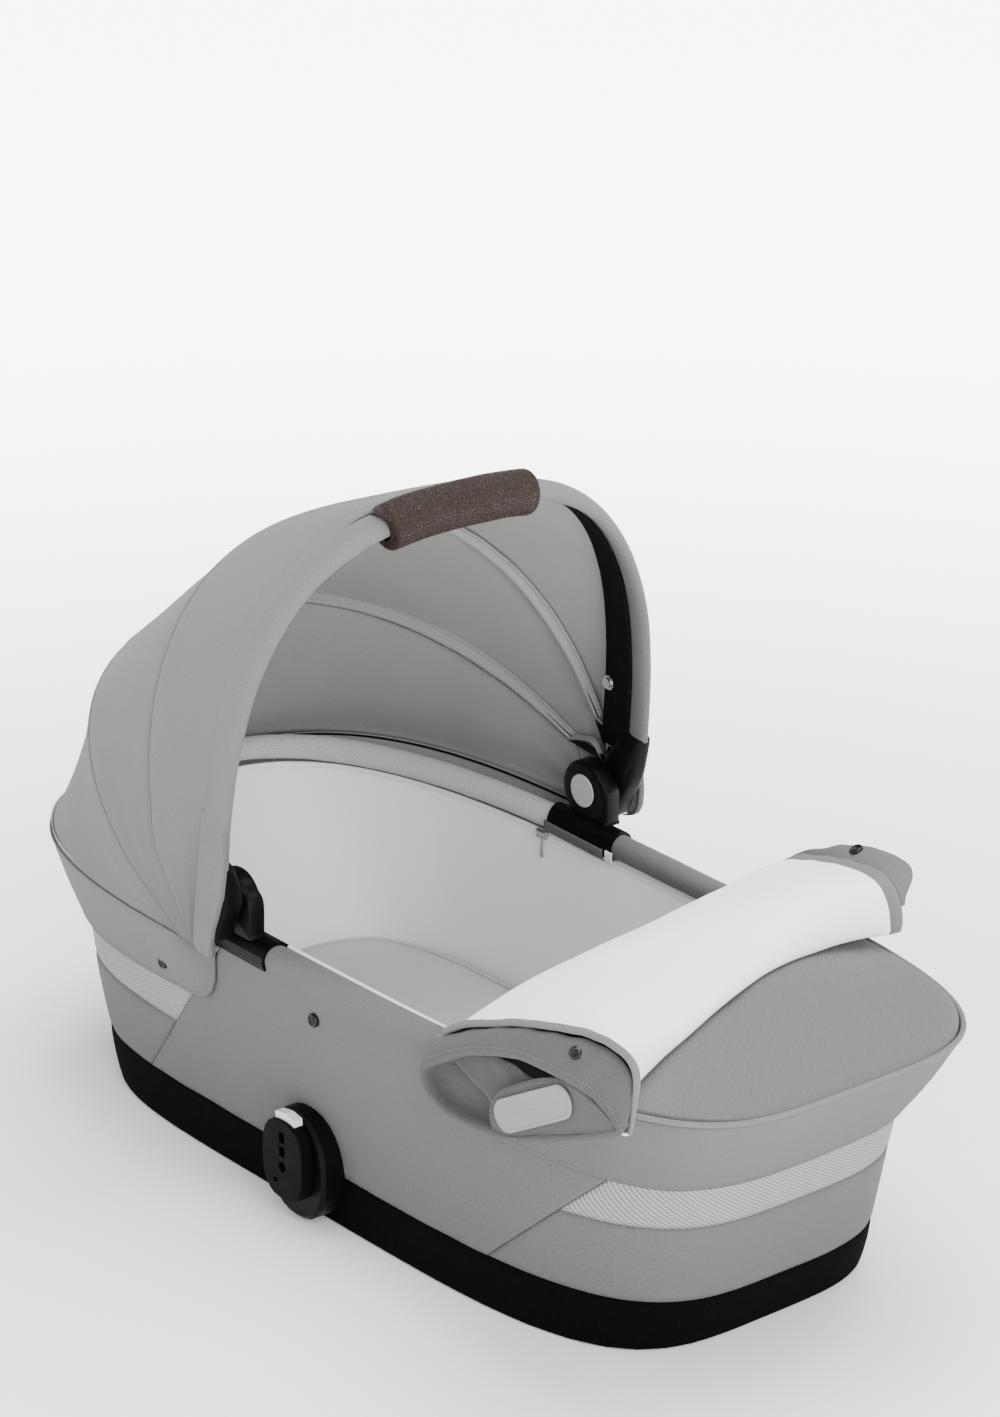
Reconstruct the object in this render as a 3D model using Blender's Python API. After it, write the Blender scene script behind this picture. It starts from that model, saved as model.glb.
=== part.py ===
"""Carrycot: base tray, soft side walls on a tubular rim, folding hood with a carry bow, foot cover.

Metres, +Z up. The origin is on the floor under the middle of the base.
+X runs towards the foot end, -X towards the head end under the hood.
-Y is the near long side and +Y the far one.
"""
import math

import bmesh
import bpy
from mathutils import Matrix, Vector

MM = 0.001

# Fits shared by all pieces
GAP = 0.3 * MM
LAYER_GAP = 0.8 * MM
OVERRUN = 4.0 * MM
CUT_TOLERANCE = 0.0003 * MM
SMOOTH_ANGLE = math.radians(40)
NUDGE_ANGLE = math.radians(0.5)
FINE_STEPS = 1440
SEARCH_STEPS = 50
NEAR = -1
FAR = 1
SIDES = {"near": NEAR, "far": FAR}

# Outline of the tub on the floor, at the top of the base band and at the rim
RIM_HALF_WIDTH = 184 * MM
BAND_NARROWING = 16.5 * MM
BASE_NARROWING = 17.5 * MM
BASE_HALF_LENGTH = 335 * MM
BASE_HALF_WIDTH = RIM_HALF_WIDTH - BASE_NARROWING
BASE_FOOT_POWER = 4.0
BASE_HEAD_POWER = 5.5
BAND_HEIGHT = 45.4 * MM
BAND_FLARE = 16 * MM
BAND_HALF_LENGTH = BASE_HALF_LENGTH + BAND_FLARE
BAND_HALF_WIDTH = RIM_HALF_WIDTH - BAND_NARROWING
BAND_FOOT_POWER = 3.7
BAND_HEAD_POWER = 5.5
RIM_HEIGHT = 217.6 * MM
RIM_FOOT_FLARE = 36 * MM
RIM_FOOT_REACH = BAND_HALF_LENGTH + RIM_FOOT_FLARE
RIM_HEAD_FLARE = 83 * MM
RIM_HEAD_REACH = BAND_HALF_LENGTH + RIM_HEAD_FLARE
RIM_FOOT_POWER = 3.5
RIM_HEAD_POWER = 2.6
TAPER_SHARE = 0.039
RING_COUNT = 48
TURN_WEIGHT_SHARE = 0.4

# Rim: a metal tube in a fabric sleeve that is open along its underside
RIM_TUBE_RADIUS = 9 * MM
SLEEVE_THICKNESS = 1.5 * MM
TUBE_SIDES = 8

# Walls, from the outside in
FABRIC_THICKNESS = 2.0 * MM
TRAY_WALL = 2.5 * MM
TRAY_FLOOR = 3.0 * MM
TRAY_UPSTAND = 60 * MM
BAND_FLOOR_GAP = 0.6 * MM
PADDING_THICKNESS = 6.9 * MM
LINER_THICKNESS = 1.5 * MM
ZIP_THICKNESS = 1.4 * MM
ZIP_WIDTH = 9 * MM
ZIP_END_X = -45 * MM
ZIP_END_GAP = 4 * MM
BINDING_RADIUS = 1.3 * MM
BINDING_ANGLE = math.radians(58)
BINDING_REAR_X = -40 * MM
BINDING_FRONT_X = 165 * MM

# Seams and mesh vents in the outer wall, as slanted cuts seen from the side
HEAD_SEAM_FOOT_X = -229 * MM
HEAD_SEAM_TOP_X = -92 * MM
FOOT_SEAM_FOOT_X = 194 * MM
FOOT_SEAM_SETBACK = 1 * MM
FOOT_SEAM_TOP_X = RIM_FOOT_REACH - FOOT_SEAM_SETBACK
HEAD_VENT_HEIGHT = 104 * MM
FOOT_VENT_HEIGHT = 112 * MM

# Mattress on its board
BOARD_THICKNESS = 3 * MM
BOARD_INSET = 16 * MM
MATTRESS_THICKNESS = 38 * MM
MATTRESS_CROWN = 7 * MM
MATTRESS_INSET = 13.5 * MM
MATTRESS_DRAW_IN = 4 * MM
MATTRESS_SIDE_RINGS = 5
MATTRESS_CROWN_RINGS = 5
MATTRESS_SEAM_DIP = 1.5 * MM
MATTRESS_CROWN_POWER = 3
MATTRESS_RING_POWER = 1.5

# Snap fasteners
SNAP_RADIUS = 5.5 * MM
SNAP_HEIGHT = 3 * MM
SNAP_SIDES = 12
SNAP_LIFT = 0.8 * MM
SNAP_CAP_SHARE = 0.7
WALL_SNAP_X = 13 * MM
WALL_SNAP_DROP = 38.6 * MM
WALL_SNAP_Z = RIM_HEIGHT - WALL_SNAP_DROP
SKIRT_SNAP_X = -168 * MM
SKIRT_SNAP_DROP = 52.6 * MM
SKIRT_SNAP_Z = RIM_HEIGHT - SKIRT_SNAP_DROP

# Saddle, housing and button of the hood hinge
PIVOT_X = -91.2 * MM
PIVOT_ABOVE_RIM = 25.2 * MM
PIVOT_Z = RIM_HEIGHT + PIVOT_ABOVE_RIM
SADDLE_REAR_X = -126 * MM
SADDLE_FRONT_X = -45 * MM
SADDLE_THICKNESS = 3 * MM
SADDLE_INNER_ANGLE = math.radians(215)
SADDLE_OUTER_ANGLE = math.radians(-36)
SADDLE_STEPS = 10
HOUSING_RADIUS = 23 * MM
HOUSING_OVERHANG = 13.5 * MM
HOUSING_INNER_Y = RIM_HALF_WIDTH - HOUSING_OVERHANG
HOUSING_DEPTH = 15.5 * MM
HOUSING_BEVEL = 1.5 * MM
BUTTON_RADIUS = 14 * MM
BUTTON_THICKNESS = 4 * MM
BUTTON_PROUD = 1 * MM
BUTTON_BEVEL = 0.5 * MM
BUTTON_TRAVEL = 3 * MM
BUTTON_POCKET = 8 * MM
ROUND_SIDES = 28
PIN_RADIUS = 3 * MM
PIN_HEAD_RADIUS = 7 * MM
PIN_HEAD_HEIGHT = 2.4 * MM

# Arm that carries the bow: a hub disc, a riser and a socket for the tube
HUB_RADIUS = 25 * MM
HUB_THICKNESS = 9.5 * MM
RISER_FRONT = 33 * MM
RISER_REAR = 13 * MM
RISER_LOW = -4 * MM
RISER_HIGH = 46 * MM
SOCKET_WALL = 2.6 * MM
SOCKET_FLOOR = 11 * MM
SOCKET_CLEARANCE = 0.6 * MM
HUB_TO_TAB = 1.5 * MM

# Front bow, in its own plane: offset ahead of the pivot, base above it, half width and height
BOW_TILT = math.radians(5.38)
BOW_OFFSET = 22 * MM
BOW_BASE = 29.5 * MM
BOW_OUTSET = 27.1 * MM
BOW_HALF_WIDTH = RIM_HALF_WIDTH + BOW_OUTSET
BOW_HEIGHT = 269.5 * MM
BOW_POWER = 2.78
BOW_TUBE_RADIUS = 6.5 * MM
BOW_SLEEVE_THICKNESS = 2.0 * MM
GRIP_RADIUS = 18.5 * MM
GRIP_HALF_LENGTH = 70 * MM
GRIP_END_ROUND = 4 * MM
GRIP_SIDES = 20
GRIP_MARGIN = 30 * MM
GRIP_CLEARANCE = 0.6 * MM
STRAP_THICKNESS = 3 * MM
STRAP_FRONT = 12 * MM
STRAP_FOOT_REAR = -19 * MM
STRAP_TIP_REAR = 7 * MM
STRAP_SETBACK = 6.3 * MM
STRAP_OUTER_HALF_WIDTH = BOW_HALF_WIDTH - STRAP_SETBACK
STRAP_TIP_SHARE = 0.83
STUD_HEIGHT_SHARE = 0.12
STUD_REAR_OFFSET = -9 * MM
STUD_RADIUS = 6.2 * MM
STUD_LENGTH = 5 * MM

# Hood ribs and seams: tilt back from upright, offset, base, half width, height and roundness
RIB_A_TILT = math.radians(-24.3)
RIB_A_OFFSET = -19.1 * MM
RIB_A_BASE = 0 * MM
RIB_A_OUTSET = 16.7 * MM
RIB_A_HALF_WIDTH = BOW_HALF_WIDTH + RIB_A_OUTSET
RIB_A_RISE = 6.8 * MM
RIB_A_HEIGHT = BOW_HEIGHT + RIB_A_RISE
RIB_A_POWER = 2.22
RIB_B_TILT = math.radians(-62.7)
RIB_B_OFFSET = -22.2 * MM
RIB_B_BASE = 12.5 * MM
RIB_B_OUTSET = 15.3 * MM
RIB_B_HALF_WIDTH = BOW_HALF_WIDTH + RIB_B_OUTSET
RIB_B_RISE = 25 * MM
RIB_B_HEIGHT = BOW_HEIGHT + RIB_B_RISE
RIB_B_POWER = 2.26
RIB_WIDTH = 5 * MM
RIB_THICKNESS = 3 * MM
RIB_TAB_RADIUS = 7.5 * MM
RIB_TAB_WIDTH = 10 * MM
RIB_LEG_START = 12 * MM
RIB_KNEE_HEIGHT = 27 * MM
RIB_INSETS = {"a": 2.5 * MM, "b": 1.9 * MM}
SEAM_C_DROP = 9.3 * MM
SEAM_C_Z = RIM_HEIGHT - SEAM_C_DROP
SEAM_C_LIFT = 0.6 * MM
SEAM_C_X = -98.6 * MM
SEAM_C_OUTSET = 26.2 * MM
SEAM_C_HALF_WIDTH = RIM_HALF_WIDTH + SEAM_C_OUTSET
SEAM_C_PROUD = 0.6 * MM
SEAM_C_LENGTH = RIM_HEAD_REACH + SEAM_C_X + SEAM_C_PROUD
SEAM_C_POWER = 3.08
HOOD_HALF_STEPS = 11
HOOD_START = 0.16
GORE_STEPS = 4
GORE_THICKNESS = 2.0 * MM
GORE_PUFFS = {"front": 3 * MM, "middle": -1 * MM, "rear": -8 * MM}
GORE_FRONT_OFFSET = 13.1 * MM
GORE_FRONT_OUTSET = 6.9 * MM
GORE_FRONT_HALF_WIDTH = BOW_HALF_WIDTH + GORE_FRONT_OUTSET
GORE_FRONT_HEIGHT = BOW_HEIGHT + GORE_FRONT_OUTSET
GORE_FOOT_FRONT_X = -101 * MM
GORE_FOOT_A_X = -109 * MM
GORE_FOOT_B_X = -121 * MM

# Hood skirt below the rear seam, down to its hem on the wall
SKIRT_THICKNESS = 2.0 * MM
SKIRT_HEM_REAR_DROP = 87.6 * MM
SKIRT_HEM_REAR_Z = RIM_HEIGHT - SKIRT_HEM_REAR_DROP
SKIRT_HEM_FRONT_DROP = 71.6 * MM
SKIRT_HEM_FRONT_Z = RIM_HEIGHT - SKIRT_HEM_FRONT_DROP
SKIRT_HEM_END_DROP = 33.6 * MM
SKIRT_HEM_END_Z = RIM_HEIGHT - SKIRT_HEM_END_DROP
SKIRT_HEM_ROUND = 45 * MM
SKIRT_HEM_OFFSET = 1.2 * MM
SKIRT_FRONT_X = -113 * MM

# Adapters that latch the cot on a frame
ADAPTER_X = -6.5 * MM
BOSS_HALF_WIDTH = 37 * MM
BOSS_BOTTOM_Z = 5 * MM
BOSS_TOP_Z = 96 * MM
BOSS_POWER = 2.3
BOSS_OUTSET = 4 * MM
BOSS_FACE_Y = RIM_HALF_WIDTH + BOSS_OUTSET
BOSS_ROUND = 3 * MM
PLATE_DEPTH = 12 * MM
PLATE_FACE_Y = BOSS_FACE_Y + PLATE_DEPTH
PLATE_HALF_WIDTH = 25.5 * MM
PLATE_BOTTOM_Z = 24 * MM
PLATE_TOP_Z = 91 * MM
PLATE_POWER = 2.8
PLATE_BEVEL = 1 * MM
SLOT_WIDTH = 7 * MM
SLOT_HEIGHT = 9 * MM
SLOT_UPPER_Z = 77 * MM
SLOT_LOWER_Z = 65 * MM
LATCH_HOLE_RADIUS = 4.5 * MM
LATCH_HOLE_Z = 52 * MM
KEY_HOLE_SIZE = 4 * MM
KEY_HOLE_Z = 38 * MM
KEY_HOLE_SHIFT = -9 * MM
FRONT_CUT_DEPTH = 5 * MM
RELEASE_WIDTH = 24 * MM
RELEASE_DEPTH = 8 * MM
RELEASE_PROUD = 6 * MM
RELEASE_BODY = 8 * MM
RELEASE_TRAVEL = 4 * MM
RELEASE_ROUND = 2 * MM

# Foot cover: crowned top, piping and a skirt that hugs the wall
COVER_OVERHANG = 33 * MM
COVER_REACH = RIM_FOOT_REACH + COVER_OVERHANG
COVER_OUTSET = 0.5 * MM
COVER_HALF_WIDTH = RIM_HALF_WIDTH + COVER_OUTSET
COVER_POWER = 4.2
COVER_UNDERCUT = 4 * MM
COVER_REAR_X = 168 * MM
COVER_LENGTH = COVER_REACH - COVER_REAR_X
COVER_LIFT = 0.6 * MM
COVER_UNDERSIDE_Z = RIM_HEIGHT + COVER_LIFT
COVER_EDGE = 5.5 * MM
COVER_CROWN = 19 * MM
COVER_ACROSS_POWER = 2.4
COVER_ALONG_POWER = 3.2
COVER_CENTER_SHARE = 0.45
COVER_RINGS = 6
COVER_RING_POWER = 1.4
PIPING_RADIUS = 2.2 * MM
COVER_SKIRT_THICKNESS = 2.5 * MM
COVER_HEM_FOOT_DROP = 70.6 * MM
COVER_HEM_FOOT_Z = RIM_HEIGHT - COVER_HEM_FOOT_DROP
COVER_HEM_SIDE_DROP = 60.6 * MM
COVER_HEM_SIDE_Z = RIM_HEIGHT - COVER_HEM_SIDE_DROP
COVER_HEM_END_DROP = 29.6 * MM
COVER_HEM_END_Z = RIM_HEIGHT - COVER_HEM_END_DROP
COVER_HEM_RISE = 60 * MM
COVER_HEM_POWER = 1.6
COVER_HEM_OFFSET = 1.0 * MM

# Flap of the foot cover, folded back on itself as a soft loop, with its ends as shares of the cover
FLAP_OUTSET = 1.5 * MM
FLAP_HALF_SPAN = COVER_HALF_WIDTH + FLAP_OUTSET
FLAP_STATIONS = 10
FLAP_NEAR_REAR_SHARE = 0.0714
FLAP_NEAR_FRONT_SHARE = 0.8651
FLAP_MIDDLE_REAR_SHARE = -0.0635
FLAP_MIDDLE_FRONT_SHARE = 0.4643
FLAP_FAR_REAR_SHARE = -0.1111
FLAP_FAR_FRONT_SHARE = 0.4603
FLAP_NEAR_RISE = 52 * MM
FLAP_MIDDLE_RISE = 29 * MM
FLAP_FAR_RISE = 50 * MM
FLAP_THICKNESS = 3.5 * MM
FLAP_NEAR_POWER = 0.8
FLAP_FAR_POWER = 1.5
FLAP_ROUND_POWER = 0.75
FLAP_TOP_STEPS = 12
FLAP_BOTTOM_STEPS = 5
FLAP_LEAN_SHARE = 0.30
FLAP_PIVOT_X = COVER_REAR_X + COVER_LENGTH * FLAP_MIDDLE_REAR_SHARE
FLAP_PIVOT_Z = COVER_UNDERSIDE_Z + COVER_EDGE + COVER_CROWN

# Turned side band of the flap, hanging outside the near wall
CUFF_WIDTH = 17 * MM
CUFF_THICKNESS = 3 * MM
CUFF_REAR_SHARE = 0.0079
CUFF_FRONT_SHARE = 0.9127
CUFF_REAR_X = COVER_REAR_X + COVER_LENGTH * CUFF_REAR_SHARE
CUFF_FRONT_X = COVER_REAR_X + COVER_LENGTH * CUFF_FRONT_SHARE
CUFF_DROP = 46.6 * MM
CUFF_LOW_Z = RIM_HEIGHT - CUFF_DROP
CUFF_RISE = 68.4 * MM
CUFF_HIGH_Z = RIM_HEIGHT + CUFF_RISE
CUFF_SUBSTEPS = 3
TONGUE_LENGTH = 60 * MM
TONGUE_WIDTH = 15 * MM
TONGUE_THICKNESS = 3 * MM
TONGUE_SHARE = 0.2024
TONGUE_X = COVER_REAR_X + COVER_LENGTH * TONGUE_SHARE
TONGUE_RISE = 57.4 * MM
TONGUE_Z = RIM_HEIGHT + TONGUE_RISE
CUFF_SNAP_SHARE = 0.6587
CUFF_SNAP_X = COVER_REAR_X + COVER_LENGTH * CUFF_SNAP_SHARE
TAG_LENGTH_SHARE = 0.3095
TAG_LENGTH = COVER_LENGTH * TAG_LENGTH_SHARE
TAG_WIDTH = 26 * MM
TAG_THICKNESS = 2.4 * MM
TAG_SHARE = 0.5
TAG_X = COVER_REAR_X + COVER_LENGTH * TAG_SHARE
TAG_RISE = 1.4 * MM
TAG_Z = RIM_HEIGHT + TAG_RISE
TAG_TILT = math.radians(17)
TAG_SIDES = 24

# Shape of the cuff as shares of its length and height, clockwise from its top rear
CUFF_SHARES = [(0.06, 0.76), (0.0, 0.44), (0.04, 0.16), (0.16, 0.02), (0.34, 0.04), (0.52, 0.20),
               (0.72, 0.40), (0.90, 0.56), (0.985, 0.70), (0.98, 0.86), (0.88, 0.965), (0.66, 1.0),
               (0.42, 0.97), (0.22, 0.88)]

# Zip slider and its puller at the far hinge
SLIDER_X = -136 * MM
SLIDER_TRAVEL = 60 * MM
SLIDER_LENGTH = 11 * MM
SLIDER_HEIGHT = 9 * MM
SLIDER_THICKNESS = 3 * MM
SLIDER_SEAT = 0.2 * MM
PULLER_LENGTH = 20 * MM
PULLER_DROP = 11 * MM
PULLER_WIDTH = 7 * MM
PULLER_THICKNESS = 1.6 * MM


def clear_scene():
    """Start from an empty scene."""
    for old in list(bpy.data.objects):
        bpy.data.objects.remove(old, do_unlink=True)


def new_material(name, color, roughness, metallic=0.0):
    """A plain material with the piece's colour and finish."""
    material = bpy.data.materials.new(name)
    material.use_nodes = True
    shader = material.node_tree.nodes["Principled BSDF"]
    shader.inputs["Base Color"].default_value = (*color, 1.0)
    shader.inputs["Roughness"].default_value = roughness
    shader.inputs["Metallic"].default_value = metallic
    return material


# Colour and finish of each kind of surface: base colour, roughness, metallic
FINISHES = {
    "grey_fabric": ((0.43, 0.43, 0.41), 0.95, 0.0),
    "inner_fabric": ((0.30, 0.30, 0.29), 0.95, 0.0),
    "white_fabric": ((0.85, 0.85, 0.84), 0.80, 0.0),
    "mattress_fabric": ((0.62, 0.62, 0.61), 0.90, 0.0),
    "mesh_fabric": ((0.50, 0.50, 0.48), 0.90, 0.0),
    "black_fabric": ((0.03, 0.03, 0.03), 0.95, 0.0),
    "foam": ((0.70, 0.68, 0.60), 0.95, 0.0),
    "leather": ((0.055, 0.028, 0.020), 0.45, 0.0),
    "black_plastic": ((0.02, 0.02, 0.02), 0.45, 0.0),
    "dark_plastic": ((0.05, 0.05, 0.05), 0.40, 0.0),
    "grey_plastic": ((0.55, 0.55, 0.54), 0.40, 0.0),
    "white_plastic": ((0.80, 0.80, 0.79), 0.35, 0.0),
    "aluminium": ((0.60, 0.60, 0.61), 0.35, 1.0),
    "steel": ((0.55, 0.55, 0.56), 0.30, 1.0),
    "board": ((0.45, 0.36, 0.25), 0.85, 0.0),
}


def make_object(name, mesh, finish, parent=None):
    """Link a mesh as an object with its material, and hang it on a parent's origin."""
    made = bpy.data.objects.new(name, mesh)
    bpy.context.scene.collection.objects.link(made)
    mesh.materials.append(new_material(name + "_finish", *FINISHES[finish]))
    mesh.shade_smooth()
    mesh.set_sharp_from_angle(angle=SMOOTH_ANGLE)
    if parent is not None:
        mesh.transform(Matrix.Translation(-parent.location))
        made.parent = parent
    return made


def make_pivot(name, place):
    """An empty on a joint's axis."""
    pivot = bpy.data.objects.new(name, None)
    bpy.context.scene.collection.objects.link(pivot)
    pivot.location = place
    return pivot


def climbs(low, high):
    """True where a diagonal runs anticlockwise around the cot as it rises."""
    if low.co.z > high.co.z:
        low, high = high, low
    return low.co.xy.cross(high.co.xy) > 0


def add_loft(bm, sections, closed=False, nested=False):
    """Skin a row of equal closed loops, with end caps unless the row closes on itself.

    Nested layers split all their twisted quads along the diagonal that climbs the same way,
    so that they stay parallel.
    """
    rows = [[bm.verts.new(point) for point in section] for section in sections]
    count = len(rows[0])
    pairs = list(zip(rows, rows[1:]))
    if closed:
        pairs.append((rows[-1], rows[0]))
    for first, second in pairs:
        for i in range(count):
            j = (i + 1) % count
            a, b, c, d = first[i], first[j], second[j], second[i]
            if not nested:
                bm.faces.new((a, b, c, d))
            elif climbs(a, c):
                bm.faces.new((a, b, c))
                bm.faces.new((a, c, d))
            else:
                bm.faces.new((a, b, d))
                bm.faces.new((b, c, d))
    if not closed:
        bm.faces.new(rows[0])
        bm.faces.new(rows[-1])


def loft(name, sections, finish, closed=False, parent=None, nested=False):
    """One object skinned over a row of sections."""
    bm = bmesh.new()
    add_loft(bm, sections, closed, nested)
    bmesh.ops.recalc_face_normals(bm, faces=bm.faces)
    mesh = bpy.data.meshes.new(name)
    bm.to_mesh(mesh)
    bm.free()
    return make_object(name, mesh, finish, parent)


def cut_away(target, cutter):
    """Subtract a cutter, which stays in the scene as a hidden guide."""
    cutter.hide_render = True
    cutter.display_type = "WIRE"
    modifier = target.modifiers.new("cut_" + cutter.name, "BOOLEAN")
    modifier.operation = "DIFFERENCE"
    modifier.solver = "EXACT"
    modifier.object = cutter


def join_on(target, extra):
    """Add a solid to another one that it meets."""
    extra.hide_render = True
    extra.display_type = "WIRE"
    modifier = target.modifiers.new("join_" + extra.name, "BOOLEAN")
    modifier.operation = "UNION"
    modifier.solver = "EXACT"
    modifier.object = extra


def bevel_edges(target, width, segments=2):
    """Round the sharp edges of a solid."""
    modifier = target.modifiers.new("round_edges", "BEVEL")
    modifier.width = width
    modifier.segments = segments
    modifier.limit_method = "ANGLE"
    modifier.angle_limit = SMOOTH_ANGLE


def circle(center, radius, sides, first, second, start=0.0):
    """Points on a circle around a centre, in the plane of two unit vectors."""
    points = []
    for k in range(sides):
        angle = start + math.tau * k / sides
        points.append(center + radius * (math.cos(angle) * first + math.sin(angle) * second))
    return points


def disc_between(start, end, radius, sides):
    """Two circles that bound a cylinder from one point to another."""
    along = (end - start).normalized()
    helper = Vector((0, 0, 1)) if abs(along.z) < abs(along.x) + abs(along.y) else Vector((1, 0, 0))
    first = along.cross(helper).normalized()
    second = along.cross(first)
    return [circle(start, radius, sides, first, second), circle(end, radius, sides, first, second)]


def mix(a, b, share):
    """A value or point part of the way from one to another."""
    return a + (b - a) * share


def superellipse(angle, front_power, back_power):
    """Unit outline at an angle, with its own roundness ahead of and behind the middle."""
    c = math.cos(angle)
    s = math.sin(angle)
    power = front_power if c > 0 else back_power
    radius = 1 / (abs(c) ** power + abs(s) ** power) ** (1 / power)
    return radius * c, radius * s


def wall_sizes(z):
    """Foot reach, head reach, half width and the two powers of the tub outline at a height."""
    base = (BASE_HALF_LENGTH, BASE_HALF_LENGTH, BASE_HALF_WIDTH, BASE_FOOT_POWER, BASE_HEAD_POWER)
    band = (BAND_HALF_LENGTH, BAND_HALF_LENGTH, BAND_HALF_WIDTH, BAND_FOOT_POWER, BAND_HEAD_POWER)
    rim = (RIM_FOOT_REACH, RIM_HEAD_REACH, RIM_HALF_WIDTH, RIM_FOOT_POWER, RIM_HEAD_POWER)
    if z < BAND_HEIGHT:
        share = z / BAND_HEIGHT
        return [mix(a, b, share) for a, b in zip(base, band)]
    share = (z - BAND_HEIGHT) / (RIM_HEIGHT - BAND_HEIGHT)
    return [mix(a, b, share) for a, b in zip(band, rim)]


def wall_smooth(angle, z, inset):
    """A point on the tub outline, moved inwards by an inset."""
    foot, head, half_width, foot_power, head_power = wall_sizes(z)
    x, y = superellipse(angle, foot_power, head_power)
    reach = foot if x > 0 else head
    return Vector(((reach - inset) * x, (half_width - inset) * y * (1 - TAPER_SHARE * x), z))


def spread_angles():
    """Ring angles spaced by length and by turning, so that the corners get more points."""
    fine = [math.tau * k / FINE_STEPS for k in range(FINE_STEPS + 1)]
    points = [wall_smooth(angle, mix(BAND_HEIGHT, RIM_HEIGHT, 0.5), 0) for angle in fine]
    steps = [b - a for a, b in zip(points, points[1:])]
    total = [0.0]
    for k, step in enumerate(steps):
        turn = step.angle(steps[k - 1])
        total.append(total[-1] + step.length + TURN_WEIGHT_SHARE * RIM_FOOT_REACH * turn)
    angles = []
    for k in range(RING_COUNT):
        wanted = total[-1] * k / RING_COUNT
        index = max(i for i, value in enumerate(total) if value <= wanted)
        angles.append(fine[index])
    return angles


RING_ANGLES = spread_angles()


def wall_point(angle, z, inset=0.0):
    """A point on the faceted tub outline, which all the wall layers share."""
    angle = angle % math.tau
    knots = RING_ANGLES + [math.tau]
    index = max(i for i, knot in enumerate(knots) if knot <= angle)
    if index == len(knots) - 1:
        return wall_smooth(0, z, inset)
    share = (angle - knots[index]) / (knots[index + 1] - knots[index])
    return mix(wall_smooth(knots[index], z, inset), wall_smooth(knots[index + 1], z, inset), share)


def side_angle(x, z, side, inset=0.0):
    """The outline angle at which a long side passes a given x."""
    low, high = 0.0, math.pi
    for _ in range(SEARCH_STEPS):
        middle = (low + high) / 2
        if wall_point(middle, z, inset).x > x:
            low = middle
        else:
            high = middle
    return low if side == FAR else math.tau - low


def angles_between(start, end):
    """The two end angles with the ring angles that lie between them."""
    inner = [angle for angle in RING_ANGLES + [a + math.tau for a in RING_ANGLES] if start < angle < end]
    return [start] + inner + [end]


def outward(angle, z):
    """Level unit vector that points out of the tub."""
    along = wall_smooth(angle + NUDGE_ANGLE, z, 0) - wall_smooth(angle - NUDGE_ANGLE, z, 0)
    return Vector((along.y, -along.x, 0)).normalized()


def ring_rows(profile, angles=None):
    """The same wall profile, given as inset and height, at each ring angle."""
    return [[wall_point(a, z, inset) for inset, z in profile] for a in (angles or RING_ANGLES)]


def ring_loops(profile):
    """One closed loop around the tub for each inset and height of a profile."""
    return [[wall_point(a, z, inset) for a in RING_ANGLES] for inset, z in profile]


# Insets of the layers, each one clear of the layer outside it
TRAY_INSET = FABRIC_THICKNESS + LAYER_GAP
PADDING_INSET = TRAY_INSET + TRAY_WALL + LAYER_GAP
PADDING_INNER = PADDING_INSET + PADDING_THICKNESS - TRAY_WALL
LINER_INSET = PADDING_INNER + LAYER_GAP
ZIP_INSET = LINER_INSET + LINER_THICKNESS + LAYER_GAP
SLEEVE_RADIUS = RIM_TUBE_RADIUS + GAP + SLEEVE_THICKNESS
RIM_CENTER_Z = RIM_HEIGHT - SLEEVE_RADIUS
SADDLE_RADIUS = SLEEVE_RADIUS + GAP + SADDLE_THICKNESS
WALL_TOP_Z = RIM_CENTER_Z - SLEEVE_RADIUS - GAP
WALL_FOOT_Z = BAND_HEIGHT + GAP


def rim_point(angle, radius, turn):
    """A point around the rim tube: turn 0 faces out, a quarter turn faces up."""
    inset = SLEEVE_RADIUS - radius * math.cos(turn)
    level = wall_point(angle, RIM_CENTER_Z, inset)
    return Vector((level.x, level.y, RIM_CENTER_Z + radius * math.sin(turn)))


def shell_arc(angle, inner, outer, start, end, steps):
    """Section of an open sleeve around the rim: the outer arc and the inner arc back."""
    turns = [mix(start, end, k / steps) for k in range(steps + 1)]
    there = [rim_point(angle, outer, turn) for turn in turns]
    back = [rim_point(angle, inner, turn) for turn in reversed(turns)]
    return there + back


def build_tray():
    """Moulded tray with its woven band."""
    wall_inner = TRAY_INSET + TRAY_WALL
    tray = [(TRAY_INSET, 0), (TRAY_INSET, BAND_HEIGHT), (TRAY_INSET, TRAY_UPSTAND),
            (wall_inner, TRAY_UPSTAND), (wall_inner, BAND_HEIGHT), (wall_inner, TRAY_FLOOR)]
    loft("base_tray", ring_loops(tray), "black_plastic", nested=True)
    band = [(0, BAND_FLOOR_GAP), (0, BAND_HEIGHT), (FABRIC_THICKNESS, BAND_HEIGHT),
            (FABRIC_THICKNESS, BAND_FLOOR_GAP)]
    loft("base_band", ring_rows(band), "black_fabric", closed=True, nested=True)


def cut_plane(bm, point, normal):
    """Keep the part of a solid ahead of a plane and close the cut."""
    geometry = bm.verts[:] + bm.edges[:] + bm.faces[:]
    cut = bmesh.ops.bisect_plane(bm, geom=geometry, plane_co=point, plane_no=normal, clear_inner=True,
                                 dist=CUT_TOLERANCE)
    edges = [item for item in cut["geom_cut"] if isinstance(item, bmesh.types.BMEdge)]
    bmesh.ops.holes_fill(bm, edges=edges)


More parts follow.
